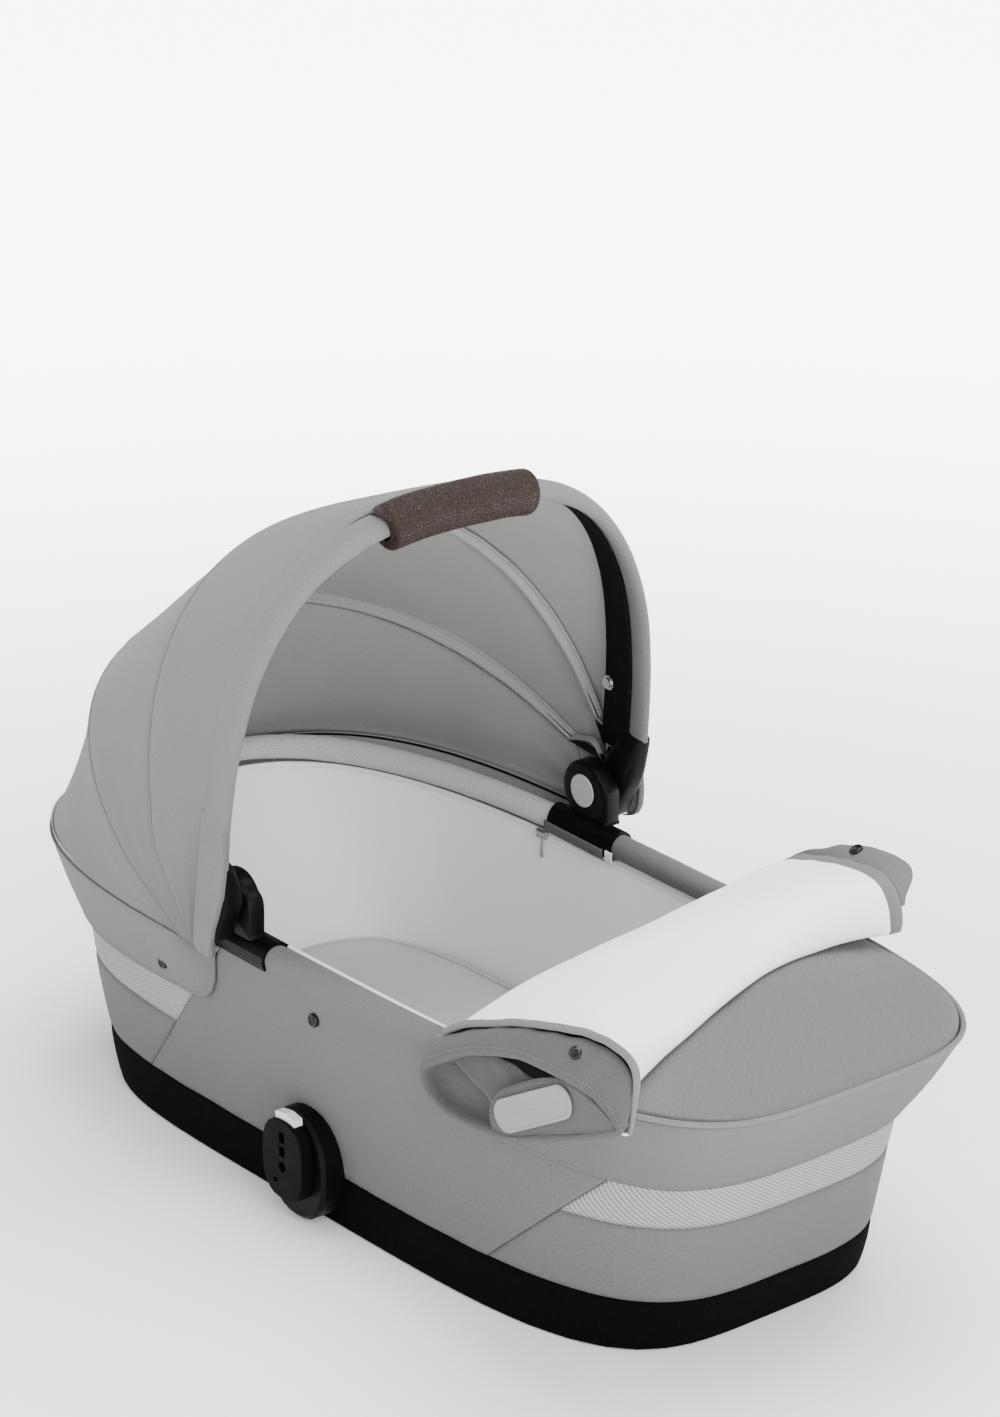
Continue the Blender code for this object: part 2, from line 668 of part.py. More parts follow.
def wall_piece(name, finish, planes):
    """A piece of the outer wall ring, cut out along the given seam planes."""
    middle = mix(WALL_FOOT_Z, WALL_TOP_Z, 0.5)
    levels = [WALL_FOOT_Z, TRAY_UPSTAND, middle, WALL_TOP_Z]
    profile = [(0, z) for z in levels] + [(FABRIC_THICKNESS, z) for z in reversed(levels)]
    bm = bmesh.new()
    add_loft(bm, ring_rows(profile), closed=True, nested=True)
    bmesh.ops.recalc_face_normals(bm, faces=bm.faces)
    for point, normal in planes:
        cut_plane(bm, point, normal)
    bmesh.ops.recalc_face_normals(bm, faces=bm.faces)
    mesh = bpy.data.meshes.new(name)
    bm.to_mesh(mesh)
    bm.free()
    return make_object(name, mesh, finish)


def seam_plane(foot_x, top_x, keep):
    """The slanted plane of a wall seam, and the side of it that is kept."""
    foot = Vector((foot_x, 0, BAND_HEIGHT))
    top = Vector((top_x, 0, RIM_HEIGHT))
    normal = (top - foot).cross(Vector((0, 1, 0))).normalized()
    if normal.x * keep < 0:
        normal = -normal
    return foot + normal * GAP / 2, normal


def level_plane(z, keep):
    """A level seam, and the side of it that is kept."""
    normal = Vector((0, 0, keep))
    return Vector((0, 0, z)) + normal * GAP / 2, normal


def build_walls():
    """Outer wall panels with mesh vents, padding and liner."""
    head_side = seam_plane(HEAD_SEAM_FOOT_X, HEAD_SEAM_TOP_X, -1)
    after_head = seam_plane(HEAD_SEAM_FOOT_X, HEAD_SEAM_TOP_X, 1)
    foot_side = seam_plane(FOOT_SEAM_FOOT_X, FOOT_SEAM_TOP_X, 1)
    before_foot = seam_plane(FOOT_SEAM_FOOT_X, FOOT_SEAM_TOP_X, -1)
    middle = (Vector((0, 0, 0)), Vector((0, 1, 0)))
    for side_name, side in SIDES.items():
        half = (middle[0], middle[1] * side)
        wall_piece("side_panel_" + side_name, "grey_fabric", [after_head, before_foot, half])
    wall_piece("head_panel", "grey_fabric", [head_side, level_plane(HEAD_VENT_HEIGHT, -1)])
    wall_piece("head_vent", "mesh_fabric", [head_side, level_plane(HEAD_VENT_HEIGHT, 1)])
    wall_piece("foot_panel", "grey_fabric", [foot_side, level_plane(FOOT_VENT_HEIGHT, -1)])
    wall_piece("foot_vent", "mesh_fabric", [foot_side, level_plane(FOOT_VENT_HEIGHT, 1)])

    step_z = TRAY_UPSTAND + GAP
    low_z = TRAY_FLOOR + GAP
    middle_z = mix(WALL_FOOT_Z, WALL_TOP_Z, 0.5)
    padding = [(PADDING_INSET, low_z), (PADDING_INSET, BAND_HEIGHT), (PADDING_INSET, step_z),
               (TRAY_INSET, step_z), (TRAY_INSET, middle_z), (TRAY_INSET, WALL_TOP_Z),
               (PADDING_INNER, WALL_TOP_Z), (PADDING_INNER, middle_z), (PADDING_INNER, TRAY_UPSTAND),
               (PADDING_INNER, BAND_HEIGHT), (PADDING_INNER, low_z)]
    loft("wall_padding", ring_rows(padding), "foam", closed=True, nested=True)

    inner = LINER_INSET + LINER_THICKNESS
    levels = [BAND_HEIGHT, TRAY_UPSTAND, middle_z, WALL_TOP_Z]
    liner = [(LINER_INSET, low_z)] + [(LINER_INSET, z) for z in levels]
    liner += [(inner, z) for z in reversed(levels)] + [(inner, low_z + LINER_THICKNESS)]
    loft("liner", ring_loops(liner), "white_fabric", nested=True)


def build_rim():
    """Rim tube, its sleeve, the zip below it and the pale binding on the near side."""
    tube = []
    for angle in RING_ANGLES:
        turns = [math.tau * (k + 0.5) / TUBE_SIDES for k in range(TUBE_SIDES)]
        tube.append([rim_point(angle, RIM_TUBE_RADIUS, turn) for turn in turns])
    loft("rim_tube", tube, "aluminium", closed=True)

    side_turn = math.tau / TUBE_SIDES
    start = (side_turn - math.pi) / 2
    end = start + math.tau - side_turn
    inner = RIM_TUBE_RADIUS + GAP
    sleeve = [shell_arc(a, inner, SLEEVE_RADIUS, start, end, TUBE_SIDES - 1) for a in RING_ANGLES]
    loft("rim_sleeve", sleeve, "grey_fabric", closed=True)

    low_z = WALL_TOP_Z - ZIP_WIDTH
    middle_z = mix(WALL_FOOT_Z, WALL_TOP_Z, 0.5)

    back = ZIP_INSET + ZIP_THICKNESS
    corners = [(ZIP_INSET, low_z), (ZIP_INSET, WALL_TOP_Z), (back, WALL_TOP_Z), (back, low_z)]

    def tape_rows(start, end):
        rows = []
        for angle in angles_between(start, end):
            row = []
            for inset, z in corners:
                share = (z - middle_z) / (WALL_TOP_Z - middle_z)
                middle = wall_point(angle, middle_z, inset)
                row.append(mix(middle, wall_point(angle, WALL_TOP_Z, inset), share))
            rows.append(row)
        return rows

    far_end = side_angle(ZIP_END_X, WALL_TOP_Z, FAR, ZIP_INSET)
    near_end = side_angle(ZIP_END_X, WALL_TOP_Z, NEAR, ZIP_INSET)
    far_start = side_angle(ZIP_END_X + ZIP_END_GAP, WALL_TOP_Z, FAR, ZIP_INSET)
    near_start = side_angle(ZIP_END_X + ZIP_END_GAP, WALL_TOP_Z, NEAR, ZIP_INSET)
    loft("zip_tape_head", tape_rows(far_end, near_end), "inner_fabric", nested=True)
    loft("zip_tape_foot", tape_rows(near_start, far_start + math.tau), "white_fabric", nested=True)

    rear = side_angle(BINDING_REAR_X, RIM_CENTER_Z, NEAR, SLEEVE_RADIUS)
    front = side_angle(BINDING_FRONT_X, RIM_CENTER_Z, NEAR, SLEEVE_RADIUS)
    rows = []
    for angle in angles_between(rear, front):
        center = rim_point(angle, SLEEVE_RADIUS + GAP + BINDING_RADIUS, math.pi - BINDING_ANGLE)
        across = outward(angle, RIM_CENTER_Z)
        rows.append(circle(center, BINDING_RADIUS, TUBE_SIDES, across, Vector((0, 0, 1))))
    loft("rim_binding", rows, "white_fabric")


def build_mattress():
    """Crowned mattress with drawn-in sides, on a stiff board."""
    board_z = TRAY_FLOOR + GAP + LINER_THICKNESS + GAP
    board_top = board_z + BOARD_THICKNESS
    loft("mattress_board", ring_loops([(BOARD_INSET, board_z), (BOARD_INSET, board_top)]), "board")
    bottom = board_top + GAP
    profile = []
    for k in range(MATTRESS_SIDE_RINGS):
        height_share = k / (MATTRESS_SIDE_RINGS - 1)
        swell = math.sin(math.pi * height_share)
        inset = MATTRESS_INSET + MATTRESS_DRAW_IN * (1 - swell)
        profile.append((inset, bottom + MATTRESS_THICKNESS * height_share))
    edge_z = bottom + MATTRESS_THICKNESS
    crown_reach = wall_sizes(edge_z)[2] - MATTRESS_INSET - MATTRESS_DRAW_IN
    for k in range(1, MATTRESS_CROWN_RINGS + 1):
        inward_share = k / (MATTRESS_CROWN_RINGS + 1)
        rise = MATTRESS_CROWN * (1 - (1 - inward_share) ** MATTRESS_CROWN_POWER)
        dip = MATTRESS_SEAM_DIP if k == 1 else 0
        inset = MATTRESS_INSET + MATTRESS_DRAW_IN + crown_reach * inward_share ** MATTRESS_RING_POWER
        profile.append((inset, edge_z + rise - dip))
    loops = []
    for inset, z in profile:
        level = min(z, edge_z)
        places = [wall_point(a, level, inset) for a in RING_ANGLES]
        loops.append([Vector((p.x, p.y, z)) for p in places])
    loft("mattress", loops, "mattress_fabric")


def snap_rows(place, direction, radius=SNAP_RADIUS, height=SNAP_HEIGHT):
    """A low round snap on a surface: a flange with a smaller cap."""
    along = direction.normalized()
    rows = disc_between(place, place + along * height / 2, radius, SNAP_SIDES)
    cap_radius = radius * SNAP_CAP_SHARE
    return rows + disc_between(place + along * height / 2, place + along * height, cap_radius, SNAP_SIDES)


def build_snaps():
    """Snaps on the walls and on the hood skirt."""
    for name, side in SIDES.items():
        angle = side_angle(WALL_SNAP_X, WALL_SNAP_Z, side)
        place = wall_point(angle, WALL_SNAP_Z, -SNAP_LIFT)
        loft("wall_snap_" + name, snap_rows(place, outward(angle, WALL_SNAP_Z)), "black_plastic")
        place, direction = skirt_face(SKIRT_SNAP_X, SKIRT_SNAP_Z, side)
        loft("skirt_snap_" + name, snap_rows(place + direction * SNAP_LIFT, direction), "black_plastic")


def build_hinges(bow_pivot):
    """Saddles, housings, buttons, pins and the arms of the bow, one set on each long side."""
    outer_y = HOUSING_INNER_Y + HOUSING_DEPTH
    hub_y = outer_y + GAP
    hub_outer_y = hub_y + HUB_THICKNESS
    pocket_y = HOUSING_INNER_Y + BUTTON_POCKET
    tabs_y = hub_outer_y + HUB_TO_TAB + len(RIB_INSETS) * (RIB_THICKNESS + GAP)
    for name, side in SIDES.items():
        def at(x, y, z):
            return Vector((x, side * y, z))

        rear = side_angle(SADDLE_REAR_X, RIM_CENTER_Z, side, SLEEVE_RADIUS)
        front = side_angle(SADDLE_FRONT_X, RIM_CENTER_Z, side, SLEEVE_RADIUS)
        angles = angles_between(min(rear, front), max(rear, front))
        inner = SLEEVE_RADIUS + GAP
        rows = [shell_arc(a, inner, SADDLE_RADIUS, SADDLE_OUTER_ANGLE, SADDLE_INNER_ANGLE, SADDLE_STEPS)
                for a in angles]
        loft("saddle_" + name, rows, "black_plastic")

        flat_z = RIM_CENTER_Z + SADDLE_RADIUS + GAP
        drop = PIVOT_Z - flat_z
        half_chord = math.asin(drop / HOUSING_RADIUS)
        outline = []
        for k in range(ROUND_SIDES + 1):
            turn = mix(-half_chord, math.pi + half_chord, k / ROUND_SIDES)
            spot_x = PIVOT_X + HOUSING_RADIUS * math.cos(turn)
            outline.append((spot_x, PIVOT_Z + HOUSING_RADIUS * math.sin(turn)))
        rows = [[at(x, y, z) for x, z in outline] for y in (HOUSING_INNER_Y, outer_y)]
        housing = loft("hinge_housing_" + name, rows, "black_plastic")
        bevel_edges(housing, HOUSING_BEVEL)

        axis = Vector((PIVOT_X, 0, PIVOT_Z))
        mouth = axis + at(0, HOUSING_INNER_Y - OVERRUN, 0)
        rows = disc_between(mouth, axis + at(0, pocket_y, 0), BUTTON_RADIUS + GAP, ROUND_SIDES)
        pocket = loft("pocket_guide_" + name, rows, "steel")
        cut_away(housing, pocket)
        rows = disc_between(mouth, axis + at(0, tabs_y + OVERRUN, 0), PIN_RADIUS + GAP, SNAP_SIDES)
        bore = loft("bore_guide_" + name, rows, "steel")
        cut_away(housing, bore)

        face_y = HOUSING_INNER_Y - BUTTON_PROUD
        center = at(PIVOT_X, face_y, PIVOT_Z)
        spot = make_pivot("button_axis_" + name, center)
        rows = disc_between(center, center + at(0, BUTTON_THICKNESS, 0), BUTTON_RADIUS, ROUND_SIDES)
        button = loft("hinge_button_" + name, rows, "grey_plastic", parent=spot)
        bevel_edges(button, BUTTON_BEVEL)

        inner_end = axis + at(0, pocket_y + GAP, 0)
        neck = axis + at(0, tabs_y + GAP, 0)
        outer_end = axis + at(0, tabs_y + GAP + PIN_HEAD_HEIGHT, 0)
        shank = disc_between(inner_end, neck, PIN_RADIUS, SNAP_SIDES)
        head = disc_between(neck, outer_end, PIN_HEAD_RADIUS, SNAP_SIDES)
        loft("hinge_pin_" + name, shank + head, "steel")

        rows = disc_between(axis + at(0, hub_y, 0), axis + at(0, hub_outer_y, 0), HUB_RADIUS, ROUND_SIDES)
        hub = loft("bow_arm_" + name, rows, "black_plastic", parent=bow_pivot)
        ahead = Vector((math.cos(BOW_TILT), 0, -math.sin(BOW_TILT)))
        up = Vector((math.sin(BOW_TILT), 0, math.cos(BOW_TILT)))
        rows = []
        for height in (RISER_LOW, RISER_HIGH):
            corners = [(RISER_REAR, hub_y), (RISER_FRONT, hub_y), (RISER_FRONT, BOW_HALF_WIDTH),
                       (RISER_REAR, BOW_HALF_WIDTH)]
            rows.append([axis + ahead * n + up * height + at(0, y, 0) for n, y in corners])
        riser = loft("riser_guide_" + name, rows, "steel")
        join_on(hub, riser)
        foot = axis + ahead * BOW_OFFSET + at(0, BOW_HALF_WIDTH, 0)
        socket_radius = BOW_TUBE_RADIUS + GAP + SOCKET_WALL
        rows = disc_between(foot + up * RISER_LOW, foot + up * RISER_HIGH, socket_radius, SNAP_SIDES)
        cup = loft("cup_guide_" + name, rows, "steel")
        join_on(hub, cup)
        rows = disc_between(foot + up * SOCKET_FLOOR, foot + up * (RISER_HIGH + OVERRUN),
                            BOW_TUBE_RADIUS + SOCKET_CLEARANCE, SNAP_SIDES)
        socket = loft("socket_guide_" + name, rows, "steel")
        cut_away(hub, socket)
        cut_away(hub, bore)


def arch_point(turn, tilt, offset, base, half_width, height, power, shift=0.0):
    """A point on an arch over the cot: turn 0 is the near foot and half a turn the far one."""
    c = math.cos(turn)
    s = math.sin(turn)
    y = -math.copysign((half_width + shift) * abs(c) ** (2 / power), c)
    rise = base + (height + shift) * abs(s) ** (2 / power)
    ahead = Vector((math.cos(tilt), 0, -math.sin(tilt)))
    up = Vector((math.sin(tilt), 0, math.cos(tilt)))
    return Vector((PIVOT_X, y, PIVOT_Z)) + ahead * offset + up * rise


def arch_turns(start):
    """Turns along an arch from the near side over the top to the far side."""
    half = [mix(start, math.pi / 2, k / HOOD_HALF_STEPS) for k in range(HOOD_HALF_STEPS + 1)]
    return half + [math.pi - turn for turn in reversed(half[:-1])]


def bow_center(turn):
    """Centre line of the bow tube."""
    return arch_point(turn, BOW_TILT, BOW_OFFSET, BOW_BASE, BOW_HALF_WIDTH, BOW_HEIGHT, BOW_POWER)


BOW_AHEAD = Vector((math.cos(BOW_TILT), 0, -math.sin(BOW_TILT)))
BOW_UP = Vector((math.sin(BOW_TILT), 0, math.cos(BOW_TILT)))


def bow_line():
    """Centre points of the tube from socket to socket, with the straight feet."""
    near_foot = bow_center(0) + BOW_UP * (SOCKET_FLOOR + SOCKET_CLEARANCE - BOW_BASE)
    far_foot = Vector((near_foot.x, -near_foot.y, near_foot.z))
    return [near_foot] + [bow_center(turn) for turn in arch_turns(0)] + [far_foot]


def frames_along(points):
    """Outward unit vector in the bow's plane at each centre point."""
    normals = []
    for k, point in enumerate(points):
        before = points[max(k - 1, 0)]
        after = points[min(k + 1, len(points) - 1)]
        normals.append((after - before).cross(BOW_AHEAD).normalized())
    middle = len(points) // 2
    if normals[middle].z < 0:
        normals = [-n for n in normals]
    return normals


def cut_line(points, low_y, high_y):
    """The part of a line of points between two y values, with exact ends."""
    kept = []
    for a, b in zip(points, points[1:]):
        for y in (low_y, high_y):
            if a.y < y < b.y:
                kept.append(mix(a, b, (y - a.y) / (b.y - a.y)))
        if low_y < b.y < high_y:
            kept.append(b)
    return kept


def above_pivot(points, height):
    """The part of the bow's line above a height over the pivot, with exact ends."""
    axis = Vector((PIVOT_X, 0, PIVOT_Z))
    levels = [(p - axis).dot(BOW_UP) - height for p in points]
    kept = []
    for k in range(len(points) - 1):
        if levels[k] * levels[k + 1] < 0:
            kept.append(mix(points[k], points[k + 1], levels[k] / (levels[k] - levels[k + 1])))
        if levels[k + 1] > 0:
            kept.append(points[k + 1])
    return kept


def build_bow(bow_pivot):
    """Carry bow: tube, soft sleeve on each side of the grip, leather grip, inner straps and studs."""
    line = bow_line()
    normals = frames_along(line)
    rows = [circle(p, BOW_TUBE_RADIUS, TUBE_SIDES, BOW_AHEAD, n) for p, n in zip(line, normals)]
    loft("bow_tube", rows, "aluminium", parent=bow_pivot)

    inner = BOW_TUBE_RADIUS + GAP
    outer = inner + BOW_SLEEVE_THICKNESS
    path = above_pivot(line, RISER_HIGH + GAP)
    rows = []
    turns = [math.pi - math.tau * k / TUBE_SIDES for k in range(TUBE_SIDES)]
    for point, normal in zip(path, frames_along(path)):
        there = [point + outer * (math.cos(t) * BOW_AHEAD + math.sin(t) * normal) for t in turns]
        back = [point + inner * (math.cos(t) * BOW_AHEAD + math.sin(t) * normal) for t in reversed(turns)]
        rows.append(there + back)
    loft("bow_sleeve", rows, "grey_fabric", parent=bow_pivot)

    path = cut_line(line, -GRIP_HALF_LENGTH, GRIP_HALF_LENGTH)
    normals = frames_along(path)
    stations = [(path[0], normals[0], GRIP_RADIUS - GRIP_END_ROUND)]
    lead = mix(path[0], path[1], GRIP_END_ROUND / (path[1] - path[0]).length)
    stations.append((lead, normals[0], GRIP_RADIUS))
    stations += [(p, n, GRIP_RADIUS) for p, n in zip(path[1:-1], normals[1:-1])]
    tail = mix(path[-1], path[-2], GRIP_END_ROUND / (path[-1] - path[-2]).length)
    stations.append((tail, normals[-1], GRIP_RADIUS))
    stations.append((path[-1], normals[-1], GRIP_RADIUS - GRIP_END_ROUND))
    rows = [circle(p, r, GRIP_SIDES, BOW_AHEAD, n) for p, n, r in stations]
    bore = outer + GAP
    rows += [circle(p, bore, GRIP_SIDES, BOW_AHEAD, n) for p, n, _ in reversed(stations)]
    loft("carry_grip", rows, "leather", closed=True, parent=bow_pivot)

    for name, side in SIDES.items():
        rows = []
        steps = HOOD_HALF_STEPS
        for k in range(steps + 1):
            share = k / steps
            turn = share * STRAP_TIP_SHARE * math.pi / 2
            turn = turn if side == NEAR else math.pi - turn
            rear = mix(STRAP_FOOT_REAR, STRAP_TIP_REAR, share ** 2)
            section = []
            for offset, shift in ((STRAP_FRONT, 0), (rear, 0), (rear, -STRAP_THICKNESS),
                                  (STRAP_FRONT, -STRAP_THICKNESS)):
                height = BOW_HEIGHT + STRAP_OUTER_HALF_WIDTH - BOW_HALF_WIDTH
                section.append(arch_point(turn, BOW_TILT, offset, BOW_BASE, STRAP_OUTER_HALF_WIDTH, height,
                                          BOW_POWER, shift))
            rows.append(section)
        loft("bow_strap_" + name, rows, "black_plastic", parent=bow_pivot)
        turn = math.asin(STUD_HEIGHT_SHARE)
        turn = turn if side == NEAR else math.pi - turn
        seat = arch_point(turn, BOW_TILT, STUD_REAR_OFFSET, BOW_BASE, STRAP_OUTER_HALF_WIDTH,
                          BOW_HEIGHT, BOW_POWER, -STRAP_THICKNESS - LAYER_GAP)
        inwards = Vector((0, -side, 0))
        rows = snap_rows(seat, inwards, STUD_RADIUS, STUD_LENGTH)
        loft("bow_stud_" + name, rows, "steel", parent=bow_pivot)


def seam_c_point(turn, shift=0.0, z=SEAM_C_Z):
    """A point on the level rear seam of the hood."""
    c = math.cos(turn)
    s = math.sin(turn)
    y = -math.copysign((SEAM_C_HALF_WIDTH + shift) * abs(c) ** (2 / SEAM_C_POWER), c)
    x = SEAM_C_X - (SEAM_C_LENGTH + shift) * abs(s) ** (2 / SEAM_C_POWER)
    return Vector((x, y, z))


def seam_c_turn(x):
    """The turn at which the near side of the rear seam passes a given x."""
    share = max(SEAM_C_X - x, 0) / SEAM_C_LENGTH
    return math.asin(share ** (SEAM_C_POWER / 2))


def hood_seam(tilt, offset, base, half_width, height, power, foot_x, shift=0.0):
    """A hood seam from the near foot on the rear seam, over the top, to the far foot."""
    points = [arch_point(turn, tilt, offset, base, half_width, height, power, shift)
              for turn in arch_turns(HOOD_START)]
    foot = seam_c_point(seam_c_turn(foot_x), shift, SEAM_C_Z + SEAM_C_LIFT)
    far_foot = Vector((foot.x, -foot.y, foot.z))
    return [foot] + points + [far_foot]


def front_seam(foot_x, shift=0.0):
    """The hood's front edge, just behind the bow sleeve and set back behind the grip."""
    points = hood_seam(BOW_TILT, GORE_FRONT_OFFSET, BOW_BASE, GORE_FRONT_HALF_WIDTH, GORE_FRONT_HEIGHT,
                       BOW_POWER, foot_x, shift)
    behind_grip = BOW_OFFSET - GRIP_RADIUS - GRIP_CLEARANCE - GORE_FRONT_OFFSET
    reach = GRIP_HALF_LENGTH + GRIP_MARGIN
    return [p + BOW_AHEAD * behind_grip if abs(p.y) < reach else p for p in points]


def rear_seam(foot_x, shift=0.0):
    """The rear seam with as many points as the other seams, from the foot of the second rib."""
    start = seam_c_turn(foot_x)
    half = [mix(start, math.pi / 2, k / (HOOD_HALF_STEPS + 1)) for k in range(HOOD_HALF_STEPS + 2)]
    turns = half + [math.pi - turn for turn in reversed(half[:-1])]
    return [seam_c_point(turn, shift, SEAM_C_Z + SEAM_C_LIFT) for turn in turns]


def gore_rows(front, rear, front_in, rear_in, puff):
    """Sections of a hood panel stretched between two seams, with its puff and its thickness."""
    rows = []
    count = len(front)
    for k in range(count):
        around = math.sin(math.pi * k / (count - 1))
        a = front[k]
        b = rear[k]
        apart = (b - a).normalized() * GAP / 2
        section = []
        for first, second, back in ((a, b, False), (front_in[k], rear_in[k], True)):
            line = []
            for j in range(GORE_STEPS + 1):
                share = j / GORE_STEPS
                point = mix(first + apart, second - apart, share)
                hump = 4 * share * (1 - share)
                out = Vector((point.x - PIVOT_X, point.y, point.z - PIVOT_Z)).normalized()
                line.append(point + out * puff * around * hump)
            section += list(reversed(line)) if back else line
        rows.append(section)
    return rows


def build_hood(rib_a_pivot, rib_b_pivot):
    """Two ribs and three fabric panels of the hood, and the skirt below them."""
    seam_a = (RIB_A_TILT, RIB_A_OFFSET, RIB_A_BASE, RIB_A_HALF_WIDTH, RIB_A_HEIGHT, RIB_A_POWER)
    seam_b = (RIB_B_TILT, RIB_B_OFFSET, RIB_B_BASE, RIB_B_HALF_WIDTH, RIB_B_HEIGHT, RIB_B_POWER)
    outer_lines, inner_lines = [
        [front_seam(GORE_FOOT_FRONT_X, shift), hood_seam(*seam_a, GORE_FOOT_A_X, shift),
         hood_seam(*seam_b, GORE_FOOT_B_X, shift), rear_seam(GORE_FOOT_B_X, shift)]
        for shift in (0, -GORE_THICKNESS)]
    parents = [rib_a_pivot, rib_b_pivot, None]
    for k, (name, puff) in enumerate(GORE_PUFFS.items()):
        outside = (outer_lines[k], outer_lines[k + 1])
        rows = gore_rows(*outside, inner_lines[k], inner_lines[k + 1], puff)
        if name == "rear":
            rows = rows[1:-1]
        loft("hood_panel_" + name, rows, "grey_fabric", parent=parents[k])

    tab_y = HOUSING_INNER_Y + HOUSING_DEPTH + GAP + HUB_THICKNESS + HUB_TO_TAB
    knee_y = STRAP_OUTER_HALF_WIDTH + LAYER_GAP
    for k, (key, seam, pivot) in enumerate((("a", seam_a, rib_a_pivot), ("b", seam_b, rib_b_pivot))):
        tab_layer = tab_y + k * (RIB_THICKNESS + GAP)
        knee_layer = knee_y + k * (RIB_THICKNESS + LAYER_GAP)
        build_rib(key, seam, tab_layer, knee_layer, pivot)
    build_skirt()


def build_rib(key, seam, tab_y, knee_y, pivot):
    """A flat rib inside a hood seam, whose legs bend inwards at a knee to a drilled tab on each pin."""
    tilt, offset = seam[:2]
    shift = -GORE_THICKNESS - RIB_INSETS[key]
    ahead = Vector((math.cos(tilt), 0, -math.sin(tilt)))
    up = Vector((math.sin(tilt), 0, math.cos(tilt)))
    axis = Vector((PIVOT_X, 0, PIVOT_Z))
    turns = arch_turns(HOOD_START)
    rows = []
    for turn in turns:
        a = arch_point(turn, *seam, shift)
        b = arch_point(turn, *seam, shift - RIB_THICKNESS)
        rows.append([a + ahead * RIB_WIDTH / 2, a - ahead * RIB_WIDTH / 2,
                     b - ahead * RIB_WIDTH / 2, b + ahead * RIB_WIDTH / 2])

    def leg(side, height, width, inner_y):
        middle = axis + up * height
        corners = [(1, RIB_THICKNESS), (-1, RIB_THICKNESS), (-1, 0), (1, 0)]
        return [middle + ahead * sign * width / 2 + Vector((0, side * (inner_y + depth), 0))
                for sign, depth in corners]

    stations = [(-RIB_TAB_RADIUS, RIB_TAB_WIDTH, tab_y), (RIB_TAB_RADIUS, RIB_TAB_WIDTH, tab_y),
                (RIB_LEG_START, RIB_WIDTH, tab_y), (RIB_KNEE_HEIGHT, RIB_WIDTH, knee_y)]
    near = [leg(NEAR, *station) for station in stations]
    far = [leg(FAR, *station) for station in reversed(stations)]
    rib = loft("hood_rib_" + key, near + rows + far, "steel", parent=pivot)
    across = Vector((0, SEAM_C_HALF_WIDTH, 0))
    rows = disc_between(axis - across, axis + across, PIN_RADIUS + GAP, SNAP_SIDES)
    bore = loft("bore_guide_rib_" + key, rows, "steel")
    cut_away(rib, bore)


def skirt_hem(top):
    """Height of the hood skirt's hem under a point of the rear seam."""
    along_share = (SEAM_C_X - top.x) / SEAM_C_LENGTH
    hem = mix(SKIRT_HEM_FRONT_Z, SKIRT_HEM_REAR_Z, along_share)
    near_end_share = max(1 - (SKIRT_FRONT_X - top.x) / SKIRT_HEM_ROUND, 0)
    return mix(hem, SKIRT_HEM_END_Z, 1 - math.sqrt(max(1 - near_end_share ** 2, 0)))


def skirt_pair(turn, inset):
    """Top and hem points of the hood skirt at a turn, moved inwards by an inset."""
    top = seam_c_point(turn, -inset, SEAM_C_Z)
    hem_z = skirt_hem(top)
    angle = math.atan2(top.y / RIM_HALF_WIDTH, top.x / RIM_HEAD_REACH)
    hem = wall_smooth(angle, hem_z, inset - SKIRT_HEM_OFFSET - SKIRT_THICKNESS)
    return top, hem


def skirt_turns():
    """Turns along the rear seam that the skirt hangs from."""
    start = seam_c_turn(SKIRT_FRONT_X)
    steps = 2 * HOOD_HALF_STEPS
    return [mix(start, math.pi - start, k / steps) for k in range(steps + 1)]


def build_skirt():
    """Fabric skirt from the rear seam of the hood down to its hem on the outer wall."""
    rows = []
    for turn in skirt_turns():
        top, hem = skirt_pair(turn, 0)
        top_in, hem_in = skirt_pair(turn, SKIRT_THICKNESS)
        rows.append([top, mix(top, hem, 0.5), hem, hem_in, mix(top_in, hem_in, 0.5), top_in])
    loft("hood_skirt", rows, "grey_fabric")


def skirt_face(x, z, side):
    """A place on the outside of the hood skirt near a given x and z, with its outward direction."""
    turns = skirt_turns()
    pairs = [skirt_pair(turn, 0) for turn in turns]
    places = [mix(top, hem, (top.z - z) / (top.z - hem.z)) for top, hem in pairs]
    half = len(places) // 2
    k = min(range(1, half), key=lambda index: abs(places[index].x - x))
    top, hem = pairs[k]
    direction = (places[k + 1] - places[k - 1]).cross(top - hem).normalized()
    if direction.y > 0:
        direction = -direction
    place = places[k]
    flip = Matrix.Diagonal((1, -side, 1))
    return flip @ place, flip @ direction


def egg_outline(half_width, bottom, top, power, count):
    """Closed superellipse outline in x and z around the adapter."""
    middle = (bottom + top) / 2
    half_height = (top - bottom) / 2
    points = []
    for k in range(count):
        x, z = superellipse(math.tau * k / count, power, power)
        points.append((ADAPTER_X + half_width * x, middle + half_height * z))
    return points


def wall_y(x, z):
    """Half width of the smooth tub outline at a place along the side."""
    low, high = 0.0, math.pi
    for _ in range(SEARCH_STEPS):
        middle = (low + high) / 2
        if wall_smooth(middle, z, 0).x > x:
            low = middle
        else:
            high = middle
    return wall_smooth(low, z, 0).y


